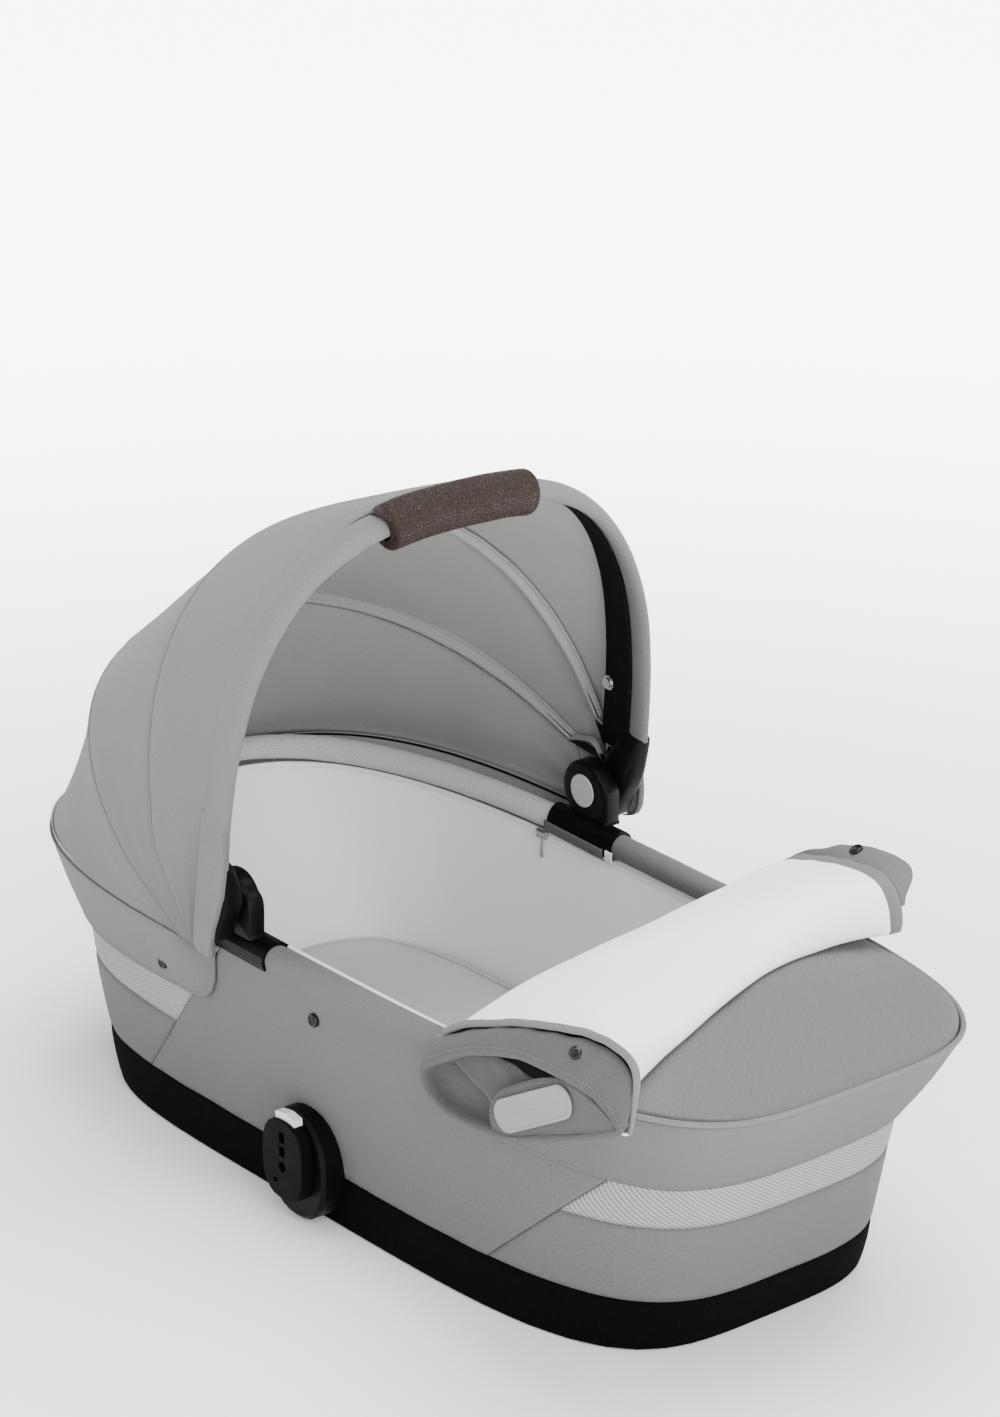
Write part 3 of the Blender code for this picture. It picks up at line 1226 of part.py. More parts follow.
def build_adapters():
    """A latch adapter on each long side: boss, slotted face plate and release button."""
    boss_outline = egg_outline(BOSS_HALF_WIDTH, BOSS_BOTTOM_Z, BOSS_TOP_Z, BOSS_POWER, ROUND_SIDES)
    small = egg_outline(BOSS_HALF_WIDTH - BOSS_ROUND, BOSS_BOTTOM_Z + BOSS_ROUND, BOSS_TOP_Z - BOSS_ROUND,
                        BOSS_POWER, ROUND_SIDES)
    plate_outline = egg_outline(PLATE_HALF_WIDTH, PLATE_BOTTOM_Z, PLATE_TOP_Z, PLATE_POWER, ROUND_SIDES)
    plate_back = BOSS_FACE_Y + GAP
    for name, side in SIDES.items():
        def at(x, y, z):
            return Vector((x, side * y, z))

        back = [at(x, wall_y(x, z) + GAP, z) for x, z in boss_outline]
        rows = [back, [at(x, BOSS_FACE_Y - BOSS_ROUND, z) for x, z in boss_outline],
                [at(x, BOSS_FACE_Y, z) for x, z in small]]
        loft("adapter_boss_" + name, rows, "black_plastic")

        rows = [[at(x, y, z) for x, z in plate_outline] for y in (plate_back, PLATE_FACE_Y)]
        plate = loft("adapter_plate_" + name, rows, "dark_plastic")
        bevel_edges(plate, PLATE_BEVEL)
        boxes = [(0, SLOT_UPPER_Z, SLOT_WIDTH, SLOT_HEIGHT), (0, SLOT_LOWER_Z, SLOT_WIDTH, SLOT_HEIGHT),
                 (KEY_HOLE_SHIFT, KEY_HOLE_Z, KEY_HOLE_SIZE, KEY_HOLE_SIZE)]
        for k, (shift, z, width, height) in enumerate(boxes):
            corners = [(-1, -1), (1, -1), (1, 1), (-1, 1)]
            rows = [[at(ADAPTER_X + shift + i * width / 2, y, z + j * height / 2) for i, j in corners]
                    for y in (PLATE_FACE_Y - FRONT_CUT_DEPTH, PLATE_FACE_Y + OVERRUN)]
            cut_away(plate, loft(f"slot_guide_{name}_{k}", rows, "steel"))
        hole_floor = at(ADAPTER_X, PLATE_FACE_Y - FRONT_CUT_DEPTH, LATCH_HOLE_Z)
        hole_mouth = at(ADAPTER_X, PLATE_FACE_Y + OVERRUN, LATCH_HOLE_Z)
        rows = disc_between(hole_floor, hole_mouth, LATCH_HOLE_RADIUS, SNAP_SIDES)
        cut_away(plate, loft("latch_hole_guide_" + name, rows, "steel"))

        release_y = plate_back + RELEASE_DEPTH / 2 + GAP
        bottom = PLATE_TOP_Z - RELEASE_BODY
        top = PLATE_TOP_Z + RELEASE_PROUD
        block = [(ADAPTER_X - RELEASE_WIDTH / 2, bottom), (ADAPTER_X + RELEASE_WIDTH / 2, bottom),
                 (ADAPTER_X + RELEASE_WIDTH / 2, top - RELEASE_ROUND), (ADAPTER_X, top),
                 (ADAPTER_X - RELEASE_WIDTH / 2, top - RELEASE_ROUND)]
        inner_y = release_y - RELEASE_DEPTH / 2
        outer_y = release_y + RELEASE_DEPTH / 2
        spot = make_pivot("release_axis_" + name, at(ADAPTER_X, release_y, PLATE_TOP_Z))
        rows = [[at(x, y, z) for x, z in block] for y in (inner_y, outer_y)]
        loft("release_button_" + name, rows, "white_plastic", parent=spot)
        low = bottom - RELEASE_TRAVEL - GAP
        half = RELEASE_WIDTH / 2 + GAP
        corners = [(ADAPTER_X - half, low), (ADAPTER_X + half, low), (ADAPTER_X + half, top + OVERRUN),
                   (ADAPTER_X - half, top + OVERRUN)]
        rows = [[at(x, y, z) for x, z in corners] for y in (plate_back - OVERRUN, outer_y + GAP)]
        cut_away(plate, loft("release_guide_" + name, rows, "steel"))


def cover_turn(x):
    """Outline angle at which the side of the foot cover passes a given x."""
    low, high = 0.0, math.pi / 2
    for _ in range(SEARCH_STEPS):
        middle = (low + high) / 2
        if superellipse(middle, COVER_POWER, COVER_POWER)[0] * COVER_REACH > x:
            low = middle
        else:
            high = middle
    return low


def cover_point(angle, grow, z):
    """A point on the outline of the foot cover, moved outwards."""
    x, y = superellipse(angle, COVER_POWER, COVER_POWER)
    return Vector(((COVER_REACH + grow) * x, (COVER_HALF_WIDTH + grow) * y * (1 - TAPER_SHARE * x), z))


def cover_angles():
    """Outline angles from the near rear corner around the foot to the far rear corner."""
    end = cover_turn(COVER_REAR_X)
    return angles_between(math.tau - end, math.tau + end)


def cover_top(x, y):
    """Height of the crowned top of the foot cover."""
    across = min(abs(y) / COVER_HALF_WIDTH, 1)
    along = min(max((x - COVER_REAR_X) / COVER_LENGTH, 0), 1)
    crown = COVER_CROWN * (1 - across ** COVER_ACROSS_POWER) * (1 - along ** COVER_ALONG_POWER)
    return COVER_UNDERSIDE_Z + COVER_EDGE + crown


def cover_hem(x):
    """Hem height of the foot cover's skirt, which rises again at its rear ends."""
    along_share = min(max((x - COVER_REAR_X) / COVER_LENGTH, 0), 1)
    hem = mix(COVER_HEM_SIDE_Z, COVER_HEM_FOOT_Z, along_share ** 2)
    end_share = max(1 - (x - COVER_REAR_X) / COVER_HEM_RISE, 0)
    return mix(hem, COVER_HEM_END_Z, min(end_share, 1) ** COVER_HEM_POWER)


def build_cover():
    """Foot cover: crowned top, piping along its edge and skirt down to the hem."""
    angles = cover_angles()
    outline = [cover_point(a, 0, 0) for a in angles]
    middle = Vector((mix(COVER_REAR_X, COVER_REACH, COVER_CENTER_SHARE), 0, 0))
    loops = [[cover_point(a, -COVER_UNDERCUT, COVER_UNDERSIDE_Z) for a in angles]]
    for k in range(COVER_RINGS):
        scale_share = 1 - (k / COVER_RINGS) ** COVER_RING_POWER
        loop = [mix(middle, p, scale_share) for p in outline]
        loops.append([Vector((p.x, p.y, cover_top(p.x, p.y))) for p in loop])
    loft("cover_top", loops, "grey_fabric")

    reach = GAP + PIPING_RADIUS
    rows = []
    for k, angle in enumerate(angles):
        center = cover_point(angle, reach, COVER_UNDERSIDE_Z + COVER_EDGE)
        before = cover_point(angles[max(k - 1, 0)], reach, center.z)
        after = cover_point(angles[min(k + 1, len(angles) - 1)], reach, center.z)
        out = (after - before).cross(Vector((0, 0, 1))).normalized()
        rows.append(circle(center, PIPING_RADIUS, TUBE_SIDES, out, Vector((0, 0, 1))))
    loft("cover_piping", rows, "grey_fabric")

    top_z = COVER_UNDERSIDE_Z + COVER_EDGE - PIPING_RADIUS - GAP
    rows = []
    for angle in angles:
        section = []
        for thickness in (COVER_SKIRT_THICKNESS, 0):
            top = cover_point(angle, GAP + thickness, top_z)
            hem_z = cover_hem(top.x)
            hem = wall_smooth(angle, hem_z, -COVER_HEM_OFFSET - thickness)
            bend_share = (top_z - RIM_CENTER_Z) / (top_z - hem_z)
            slope = mix(top, hem, bend_share)
            hug = wall_smooth(angle, RIM_CENTER_Z, -COVER_HEM_OFFSET - thickness)
            bend = slope if (slope - hug).dot(outward(angle, RIM_CENTER_Z)) > 0 else hug
            line = [top, bend, hem]
            section += line if thickness else list(reversed(line))
        rows.append(section)
    loft("cover_skirt", rows, "grey_fabric")


def flap_ends(y):
    """Rear and front x of the folded flap at a place across the cot, and its rise."""
    middle = (FLAP_MIDDLE_REAR_SHARE, FLAP_MIDDLE_FRONT_SHARE, FLAP_MIDDLE_RISE)
    if y < 0:
        end = (FLAP_NEAR_REAR_SHARE, FLAP_NEAR_FRONT_SHARE, FLAP_NEAR_RISE)
        ease = 1 - math.cos(math.pi / 2 * y / FLAP_HALF_SPAN) ** FLAP_NEAR_POWER
    else:
        end = (FLAP_FAR_REAR_SHARE, FLAP_FAR_FRONT_SHARE, FLAP_FAR_RISE)
        ease = (y / FLAP_HALF_SPAN) ** FLAP_FAR_POWER
    rear, front, rise = [mix(a, b, ease) for a, b in zip(middle, end)]
    return COVER_REAR_X + COVER_LENGTH * rear, COVER_REAR_X + COVER_LENGTH * front, rise


def flap_loop(y, inset):
    """Closed section of the folded flap at a place across the cot."""
    rear, front, rise = flap_ends(y)
    rear += inset
    front -= inset + inset
    middle = (rear + front) / 2
    half = (front - rear) / 2
    points = []
    for k in range(FLAP_TOP_STEPS + 1):
        turn = math.pi * k / FLAP_TOP_STEPS
        c = math.cos(turn)
        s = math.sin(turn)
        x = middle + half * c
        lean = 1 - FLAP_LEAN_SHARE * c
        z = flap_floor(x, y) + inset + (rise - inset - inset) * s ** FLAP_ROUND_POWER * lean
        points.append(Vector((x, y, z)))
    for k in range(1, FLAP_BOTTOM_STEPS):
        x = mix(rear, front, k / FLAP_BOTTOM_STEPS)
        points.append(Vector((x, y, flap_floor(x, y) + inset)))
    return points


def flap_floor(x, y):
    """Height at which the underside of the flap lies on the cover."""
    piping_top = COVER_UNDERSIDE_Z + COVER_EDGE + PIPING_RADIUS
    return max(cover_top(x, y), piping_top) + GAP


def build_flap(flap_pivot):
    """Folded flap with its near cuff, far tongue, snaps and tag."""
    places = [mix(-FLAP_HALF_SPAN, FLAP_HALF_SPAN, k / FLAP_STATIONS) for k in range(FLAP_STATIONS + 1)]
    outer = [flap_loop(y, 0) for y in places]
    inner = [flap_loop(y, FLAP_THICKNESS) for y in places]
    loft("cover_flap", outer + list(reversed(inner)), "white_fabric", closed=True, parent=flap_pivot)

    cuff_inner_y = FLAP_HALF_SPAN + GAP
    cuff_outer_y = cuff_inner_y + CUFF_WIDTH
    count = len(CUFF_SHARES)
    smooth = []
    for k in range(count):
        window = [Vector(CUFF_SHARES[(k + step) % count]) for step in (-1, 0, 1, 2)]
        for j in range(CUFF_SUBSTEPS):
            smooth.append(catmull(window, j / CUFF_SUBSTEPS))
    rows = []
    faces = []
    total = len(smooth)
    length = CUFF_FRONT_X - CUFF_REAR_X
    height = CUFF_HIGH_Z - CUFF_LOW_Z
    middle = Vector((CUFF_REAR_X + length / 2, 0, CUFF_LOW_Z + height / 2))
    for k in range(total):
        ahead = smooth[(k + 1) % total] - smooth[k - 1]
        x = CUFF_REAR_X + length * smooth[k].x
        z = CUFF_LOW_Z + height * smooth[k].y
        along = Vector((length * ahead.x, 0, height * ahead.y)).normalized()
        inside = along.cross(Vector((0, 1, 0)))
        if inside.dot(middle - Vector((x, 0, z))) < 0:
            inside = -inside
        row = []
        for y, depth in ((cuff_inner_y, 0), (cuff_outer_y, 0), (cuff_outer_y, 1), (cuff_inner_y, 1)):
            row.append(Vector((x, -y, z)) + inside * CUFF_THICKNESS * depth)
        rows.append(row)
        faces.append((Vector((x, -cuff_inner_y - CUFF_WIDTH / 2, z)), -inside))
    loft("flap_cuff", rows, "grey_fabric", closed=True, parent=flap_pivot)

    tongue_y = FLAP_HALF_SPAN + GAP
    outline = []
    for k in range(SNAP_SIDES + 1):
        turn = math.pi * k / SNAP_SIDES
        z = TONGUE_Z - TONGUE_WIDTH * math.sin(turn)
        outline.append((TONGUE_X + TONGUE_LENGTH / 2 * math.cos(turn), z))
    rows = [[Vector((x, y, z)) for x, z in outline] for y in (tongue_y, tongue_y + TONGUE_THICKNESS)]
    loft("flap_tongue", rows, "grey_fabric", parent=flap_pivot)

    cuff_face = -cuff_outer_y - GAP
    tongue_face = tongue_y + TONGUE_THICKNESS + GAP
    target = Vector((CUFF_SNAP_X, 0, CUFF_HIGH_Z))
    seat, direction = min(faces, key=lambda face: (Vector((face[0].x, 0, face[0].z)) - target).length)
    rows = snap_rows(seat + direction * GAP, direction)
    loft("flap_snap_near", rows, "black_plastic", parent=flap_pivot)
    snap_z = TONGUE_Z - TONGUE_WIDTH / 2
    rows = snap_rows(Vector((TONGUE_X, tongue_face, snap_z)), Vector((0, FAR, 0)))
    loft("flap_snap_far", rows, "black_plastic", parent=flap_pivot)

    along = Vector((math.cos(TAG_TILT), 0, math.sin(TAG_TILT)))
    up = Vector((-math.sin(TAG_TILT), 0, math.cos(TAG_TILT)))
    rows = []
    for y in (cuff_face, cuff_face - TAG_THICKNESS):
        row = []
        for k in range(TAG_SIDES):
            turn = math.tau * k / TAG_SIDES
            end = math.copysign(TAG_LENGTH / 2 - TAG_WIDTH / 2, math.cos(turn))
            row.append(Vector((TAG_X, y, TAG_Z)) + along * (end + TAG_WIDTH / 2 * math.cos(turn))
                       + up * TAG_WIDTH / 2 * math.sin(turn))
        rows.append(row)
    loft("flap_tag", rows, "white_plastic", parent=flap_pivot)


def catmull(window, share):
    """A point on a smooth curve through four neighbours."""
    a, b, c, d = window
    return 0.5 * (2 * b + (c - a) * share + (2 * a - 5 * b + 4 * c - d) * share ** 2
                  + (3 * b - a - 3 * c + d) * share ** 3)


def slider_frame():
    """Start of the zip slider's run, its direction towards the head end and its inward direction."""
    z = WALL_TOP_Z - ZIP_WIDTH / 2
    inset = ZIP_INSET + ZIP_THICKNESS + GAP + SLIDER_SEAT
    start = wall_point(side_angle(SLIDER_X, z, FAR, inset), z, inset)
    end = wall_point(side_angle(SLIDER_X - SLIDER_TRAVEL, z, FAR, inset), z, inset)
    along = (end - start).normalized()
    return start, along, Vector((0, 0, 1)).cross(along).normalized()


def build_slider():
    """Zip slider on the tape, with its hanging puller."""
    start, along, side = slider_frame()
    inward = side if side.y < 0 else -side
    up = Vector((0, 0, 1))
    spot = make_pivot("slider_start", start)
    rows = []
    for depth in (GAP, GAP + SLIDER_THICKNESS):
        corners = [(-1, -1), (1, -1), (1, 1), (-1, 1)]
        rows.append([start + inward * depth + along * i * SLIDER_LENGTH / 2 + up * j * SLIDER_HEIGHT / 2
                     for i, j in corners])
    slider = loft("zip_slider", rows, "white_plastic", parent=spot)
    rows = []
    for depth in (GAP + SLIDER_THICKNESS / 2, GAP + SLIDER_THICKNESS / 2 + PULLER_THICKNESS):
        corners = [(-1, 1), (1, 1), (1, -1), (-1, -1)]
        rows.append([start + inward * depth + along * i * PULLER_WIDTH / 2 + up * j * PULLER_LENGTH / 2
                     - up * PULLER_DROP for i, j in corners])
    join_on(slider, loft("puller_guide", rows, "white_plastic"))


def build_carrycot():
    """Build every piece of the carrycot."""
    clear_scene()
    hinge_place = Vector((PIVOT_X, 0, PIVOT_Z))
    bow_pivot = make_pivot("bow_pivot", hinge_place)
    rib_a_pivot = make_pivot("rib_a_pivot", hinge_place)
    rib_b_pivot = make_pivot("rib_b_pivot", hinge_place)
    flap_pivot = make_pivot("flap_pivot", Vector((FLAP_PIVOT_X, 0, FLAP_PIVOT_Z)))
    build_tray()
    build_walls()
    build_rim()
    build_mattress()
    build_hinges(bow_pivot)
    build_bow(bow_pivot)
    build_hood(rib_a_pivot, rib_b_pivot)
    build_snaps()
    build_adapters()
    build_cover()
    build_flap(flap_pivot)
    build_slider()


build_carrycot()
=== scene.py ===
import math
import bpy
import numpy as np
from mathutils import Matrix, Vector


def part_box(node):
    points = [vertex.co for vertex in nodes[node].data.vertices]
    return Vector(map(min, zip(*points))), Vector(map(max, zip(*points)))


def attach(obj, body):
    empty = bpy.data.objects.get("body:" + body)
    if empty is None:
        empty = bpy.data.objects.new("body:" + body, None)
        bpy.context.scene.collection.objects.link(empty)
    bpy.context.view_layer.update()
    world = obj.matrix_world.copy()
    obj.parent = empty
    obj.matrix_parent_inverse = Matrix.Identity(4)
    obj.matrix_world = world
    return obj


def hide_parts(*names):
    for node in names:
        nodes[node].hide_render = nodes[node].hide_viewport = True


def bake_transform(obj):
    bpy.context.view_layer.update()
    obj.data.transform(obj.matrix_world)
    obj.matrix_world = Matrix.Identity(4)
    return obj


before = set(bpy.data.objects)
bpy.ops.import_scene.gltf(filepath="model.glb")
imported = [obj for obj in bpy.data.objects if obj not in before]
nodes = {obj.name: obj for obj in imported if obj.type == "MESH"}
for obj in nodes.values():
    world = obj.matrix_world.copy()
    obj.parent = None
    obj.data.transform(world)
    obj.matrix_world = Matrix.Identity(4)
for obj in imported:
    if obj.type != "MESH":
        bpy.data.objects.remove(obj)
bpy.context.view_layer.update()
MM = 0.001


# Shapes of the tub, as in the part
BASE = (335, 335, 166.5, 4.0, 5.5)
BAND = (351, 351, 167.5, 3.7, 5.5)
RIM = (387, 434, 184, 3.5, 2.6)
BAND_Z, RIM_Z, TAPER = 45.4 * MM, 217.6 * MM, 0.039
SLEEVE_R = 10.8 * MM
RIM_MID_Z = RIM_Z - SLEEVE_R
WALL_TOP = RIM_MID_Z - SLEEVE_R - 0.3 * MM
PIVOT_X, PIVOT_Z = -91.2, 242.8


def mix(a, b, t):
    return a + (b - a) * t


def clamp(t):
    return np.clip(t, 0, 1)


def ease(t):
    t = clamp(t)
    return t * t * (3 - 2 * t)


def bell(distance, width):
    return np.exp(-(distance / width) ** 2)


def xyz(x, y, z):
    """Points from coordinates that are arrays or single numbers."""
    return np.stack(np.broadcast_arrays(x, y, z), -1)


def unit(v):
    return v / (np.linalg.norm(v, axis=-1, keepdims=True) + 1e-12)


def oval(a, front, back):
    c, s = np.cos(a), np.sin(a)
    p = np.where(c > 0, front, back)
    r = (np.abs(c) ** p + np.abs(s) ** p) ** (-1 / p)
    return r * c, r * s


def wall(a, z, inset=0.0):
    a, z, inset = np.broadcast_arrays(a, z, inset)
    low, high = clamp(z / BAND_Z), np.clip((z - BAND_Z) / (RIM_Z - BAND_Z), 0, None)
    foot, head, half, fp, hp = [mix(mix(b, m, low), r, high) for b, m, r in zip(BASE, BAND, RIM)]
    x, y = oval(a, fp, hp)
    reach = np.where(x > 0, foot, head) * MM
    return xyz((reach - inset) * x, (half * MM - inset) * y * (1 - TAPER * x), z)


def outward(a, z):
    d = wall(a + 0.01, z) - wall(a - 0.01, z)
    return unit(xyz(d[..., 1], -d[..., 0], 0.0))


def angle_at(x, z, side, inset=0.0):
    """Outline angle where a long side passes x."""
    x, z = np.broadcast_arrays(x, z)
    low, high = np.zeros(x.shape), np.full(x.shape, math.pi)
    for _ in range(40):
        mid = (low + high) / 2
        more = wall(mid, z, inset)[..., 0] > x
        low, high = np.where(more, mid, low), np.where(more, high, mid)
    return low if side > 0 else math.tau - low


def run(p):
    """Distance along a line at each of its points."""
    return np.concatenate([[0], np.cumsum(np.linalg.norm(np.diff(p, axis=0), axis=1))])


def even(start, end, count, z=0.13):
    """Outline angles an even distance apart."""
    fine = np.linspace(start, end, 1500)
    total = run(wall(fine, z))
    return np.interp(np.linspace(0, total[-1], count), total, fine)


def rim_point(a, radius, turn):
    p = wall(a, np.full_like(np.asarray(a, float), RIM_MID_Z), SLEEVE_R - radius * np.cos(turn))
    p[..., 2] = RIM_MID_Z + radius * np.sin(turn)
    return p


def field(p, size, seed, count=14):
    """A smooth random height at points in space, about -1 to 1, with bumps of the given size."""
    rng = np.random.default_rng(seed)
    total = np.zeros(p.shape[:-1])
    for _ in range(count):
        way = unit(rng.normal(size=3)) * math.tau / size * rng.uniform(0.6, 1.7)
        total += np.sin(p @ way + rng.uniform(0, math.tau))
    return total / math.sqrt(count)


def catmull(p, count, closed=False):
    """A smooth line of count points through the given points."""
    p = np.asarray(p, float)
    n = len(p)
    t = np.linspace(0, n if closed else n - 1, count, endpoint=not closed)
    i = np.minimum(t.astype(int), n - (1 if closed else 2))
    f = (t - i)[:, None]
    at = (lambda k: p[k % n]) if closed else (lambda k: p[np.clip(k, 0, n - 1)])
    a, b, c, d = at(i - 1), at(i), at(i + 1), at(i + 2)
    square, cube = 2 * a - 5 * b + 4 * c - d, 3 * b - a - 3 * c + d
    return 0.5 * (2 * b + (c - a) * f + square * f ** 2 + cube * f ** 3)


def panel_of_cloth(p, closed=False):
    """Takes a panel's points and, when closed, repeats the first row at the end; nothing is made or kept
    from them.
    """
    p = np.concatenate([p, p[:1]]) if closed else p


# Mesh makers
def add_object(name, verts, faces, mats, index=None, uv=None, body=None, node=None, slot=None, flat=False):
    """A mesh object that rides on a body and stands for a node, whose own piece it hides. The slot argument
    is not used.
    """
    mesh = bpy.data.meshes.new(name)
    mesh.from_pydata([tuple(v) for v in verts], [], [tuple(f) for f in faces])
    for m in mats:
        mesh.materials.append(m)
    if index is not None:
        mesh.polygons.foreach_set("material_index", index)
    if uv is not None:
        mesh.uv_layers.new(name="UVMap").data.foreach_set("uv", np.asarray(uv, np.float32).ravel())
    mesh.polygons.foreach_set("use_smooth", [not flat] * len(faces))
    mesh.update()
    ob = bpy.data.objects.new(name, mesh)
    bpy.context.scene.collection.objects.link(ob)
    if body:
        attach(ob, body)
    if node:
        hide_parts(node)
    return ob


def normals(p, closed=False):
    di = np.roll(p, -1, 0) - np.roll(p, 1, 0) if closed else np.gradient(p, axis=0)
    return unit(np.cross(di, np.gradient(p, axis=1)))


def sheet_mesh(name, p, mats, thick=0.0, closed=False, flip=False, face=None, **kept):
    """A surface through rows of points, thickened away from its normal side.

    closed joins the last row to the first.
    face is a row, a column and the way that the surface there has to look.
    """
    n, m = p.shape[:2]
    if face:
        flip = normals(p, closed)[face[:2]] @ face[2] < 0
    nrm = normals(p, closed) * (-1 if flip else 1)
    loop = np.concatenate([p, p[:1]]) if closed else p
    u = np.concatenate([[0], np.cumsum(np.linalg.norm(np.diff(loop, axis=0), axis=2).mean(1))])
    v = np.concatenate([[0], np.cumsum(np.linalg.norm(np.diff(p, axis=1), axis=2).mean(0))])
    i, j = np.meshgrid(np.arange(n if closed else n - 1), np.arange(m - 1), indexing="ij")
    i, j = i.ravel(), j.ravel()
    i2 = (i + 1) % n
    quads = np.stack([i * m + j, i2 * m + j, i2 * m + j + 1, i * m + j + 1], 1)
    uvs = np.stack([np.stack([u[i], v[j]], 1), np.stack([u[i + 1], v[j]], 1),
                    np.stack([u[i + 1], v[j + 1]], 1), np.stack([u[i], v[j + 1]], 1)], 1)
    if flip:
        quads, uvs = quads[:, ::-1], uvs[:, ::-1]
    verts, faces, uv, index = p.reshape(-1, 3), quads, uvs, np.zeros(len(quads), int)
    if np.any(thick):
        inner = p - nrm * (thick[..., None] if isinstance(thick, np.ndarray) else thick)
        verts = np.concatenate([verts, inner.reshape(-1, 3)])
        faces = np.concatenate([faces, quads[:, ::-1] + n * m])
        uv = np.concatenate([uv, uvs[:, ::-1]])
        index = np.concatenate([index, np.full(len(quads), len(mats) - 1)])
        ids = np.arange(n * m).reshape(n, m)
        edges = []
        span = np.arange(n if closed else n - 1)
        for col, turn in ((0, 1), (m - 1, 0)):
            a, b = ids[span, col], ids[(span + 1) % n, col]
            edges.append((a, b, u[span], u[span + 1], turn))
        if not closed:
            for row, turn in ((0, 0), (n - 1, 1)):
                a, b = ids[row, :-1], ids[row, 1:]
                edges.append((a, b, v[:-1], v[1:], turn))
        for a, b, ua, ub, turn in edges:
            strip = np.stack([a, b, b + n * m, a + n * m], 1)
            zero = np.zeros_like(ua)
            strip_uv = np.stack([np.stack([ua, zero], 1), np.stack([ub, zero], 1),
                                 np.stack([ub, zero + 0.002], 1), np.stack([ua, zero + 0.002], 1)], 1)
            if bool(turn) == flip:
                strip, strip_uv = strip[:, ::-1], strip_uv[:, ::-1]
            faces = np.concatenate([faces, strip[:, ::-1]])
            uv = np.concatenate([uv, strip_uv[:, ::-1]])
            index = np.concatenate([index, np.zeros(len(strip), int)])
    return add_object(name, verts, faces, mats, index, uv, **kept)


def tube(name, path, radius, mats, body, sides=14, up=(0, 0, 1), cap=0.5, closed=False, shape=None, **kept):
    """A tube along a path; shape gives radii round it, and both ends are rounded by cap radii."""
    path = np.asarray(path, float)
    n = len(path)
    along = unit(np.roll(path, -1, 0) - np.roll(path, 1, 0) if closed else np.gradient(path, axis=0))
    side = unit(np.cross(along, np.asarray(up, float)))
    top = np.cross(side, along)
    turn = np.linspace(0, math.tau, sides + 1)
    r = np.full(n, radius) if np.isscalar(radius) else np.asarray(radius)
    wide = r[:, None] * (np.ones(sides + 1) if shape is None else shape(turn))[None]
    p = (path[:, None] + (side[:, None] * np.cos(turn)[None, :, None]
                          + top[:, None] * np.sin(turn)[None, :, None]) * wide[..., None])
    if not closed and cap:
        ends = []
        for k, sign in ((0, -1), (n - 1, 1)):
            rings = []
            for s in (0.35, 0.7, 0.93, 1.0):
                rings.append(path[k] + (p[k] - path[k]) * math.sqrt(max(1 - s * s, 0.0004))
                             + along[k] * sign * s * r[k] * cap)
            ends.append(rings)
        p = np.concatenate([np.array(ends[0][::-1]), p, np.array(ends[1])])
    return sheet_mesh(name, p, mats, closed=closed, body=body, flip=True, **kept)


def lathe(name, centre, axis, profile, mats, body, sides=32, **kept):
    """A turned piece: (radius, height) pairs in millimetres round an axis."""
    axis = unit(np.asarray(axis, float))
    x = unit(np.cross(axis, (0.3, 0.9, 0.2)))
    y = np.cross(axis, x)
    turn = np.arange(sides) * math.tau / sides
    around = x * np.cos(turn)[:, None] + y * np.sin(turn)[:, None]
    rings = [np.asarray(centre) + around * max(r, 0.01) * MM + axis * h * MM for r, h in profile]
    return sheet_mesh(name, np.stack(rings, 1), mats, closed=True, body=body, **kept)


def stitches(name, path, body, pitch=4.2, length=2.8, radius=0.32, mat=None):
    """A run of small raised threads along a line."""
    path = np.asarray(path, float)
    total = run(path)
    starts = np.arange(pitch * MM / 2, total[-1] - pitch * MM, pitch * MM)
    verts, faces = [], []
    for s in starts:
        a, b = [np.array([np.interp(t, total, path[:, c]) for c in range(3)]) for t in (s, s + length * MM)]
        way = unit(b - a)
        x = unit(np.cross(way, (0.31, 0.2, 0.93)))
        y = np.cross(way, x)
        base = len(verts)
        for t, grow in ((0, 0.35), (0.2, 1), (0.8, 1), (1, 0.35)):
            for k in range(5):
                c, q = math.cos(math.tau * k / 5), math.sin(math.tau * k / 5)
                verts.append(mix(a, b, t) + (x * c + y * q) * radius * MM * grow)
        for r in range(3):
            for k in range(5):
                faces.append((base + r * 5 + k, base + r * 5 + (k + 1) % 5,
                              base + r * 5 + 5 + (k + 1) % 5, base + r * 5 + 5 + k))
    return add_object(name, verts, faces, [mat or THREAD], body=body)


def shape_edge(s, t, depth, reach):
    """Valley beside the seams of a panel, from distances to its four borders."""
    near = np.minimum(s, t)
    return -depth * np.exp(-near / reach)


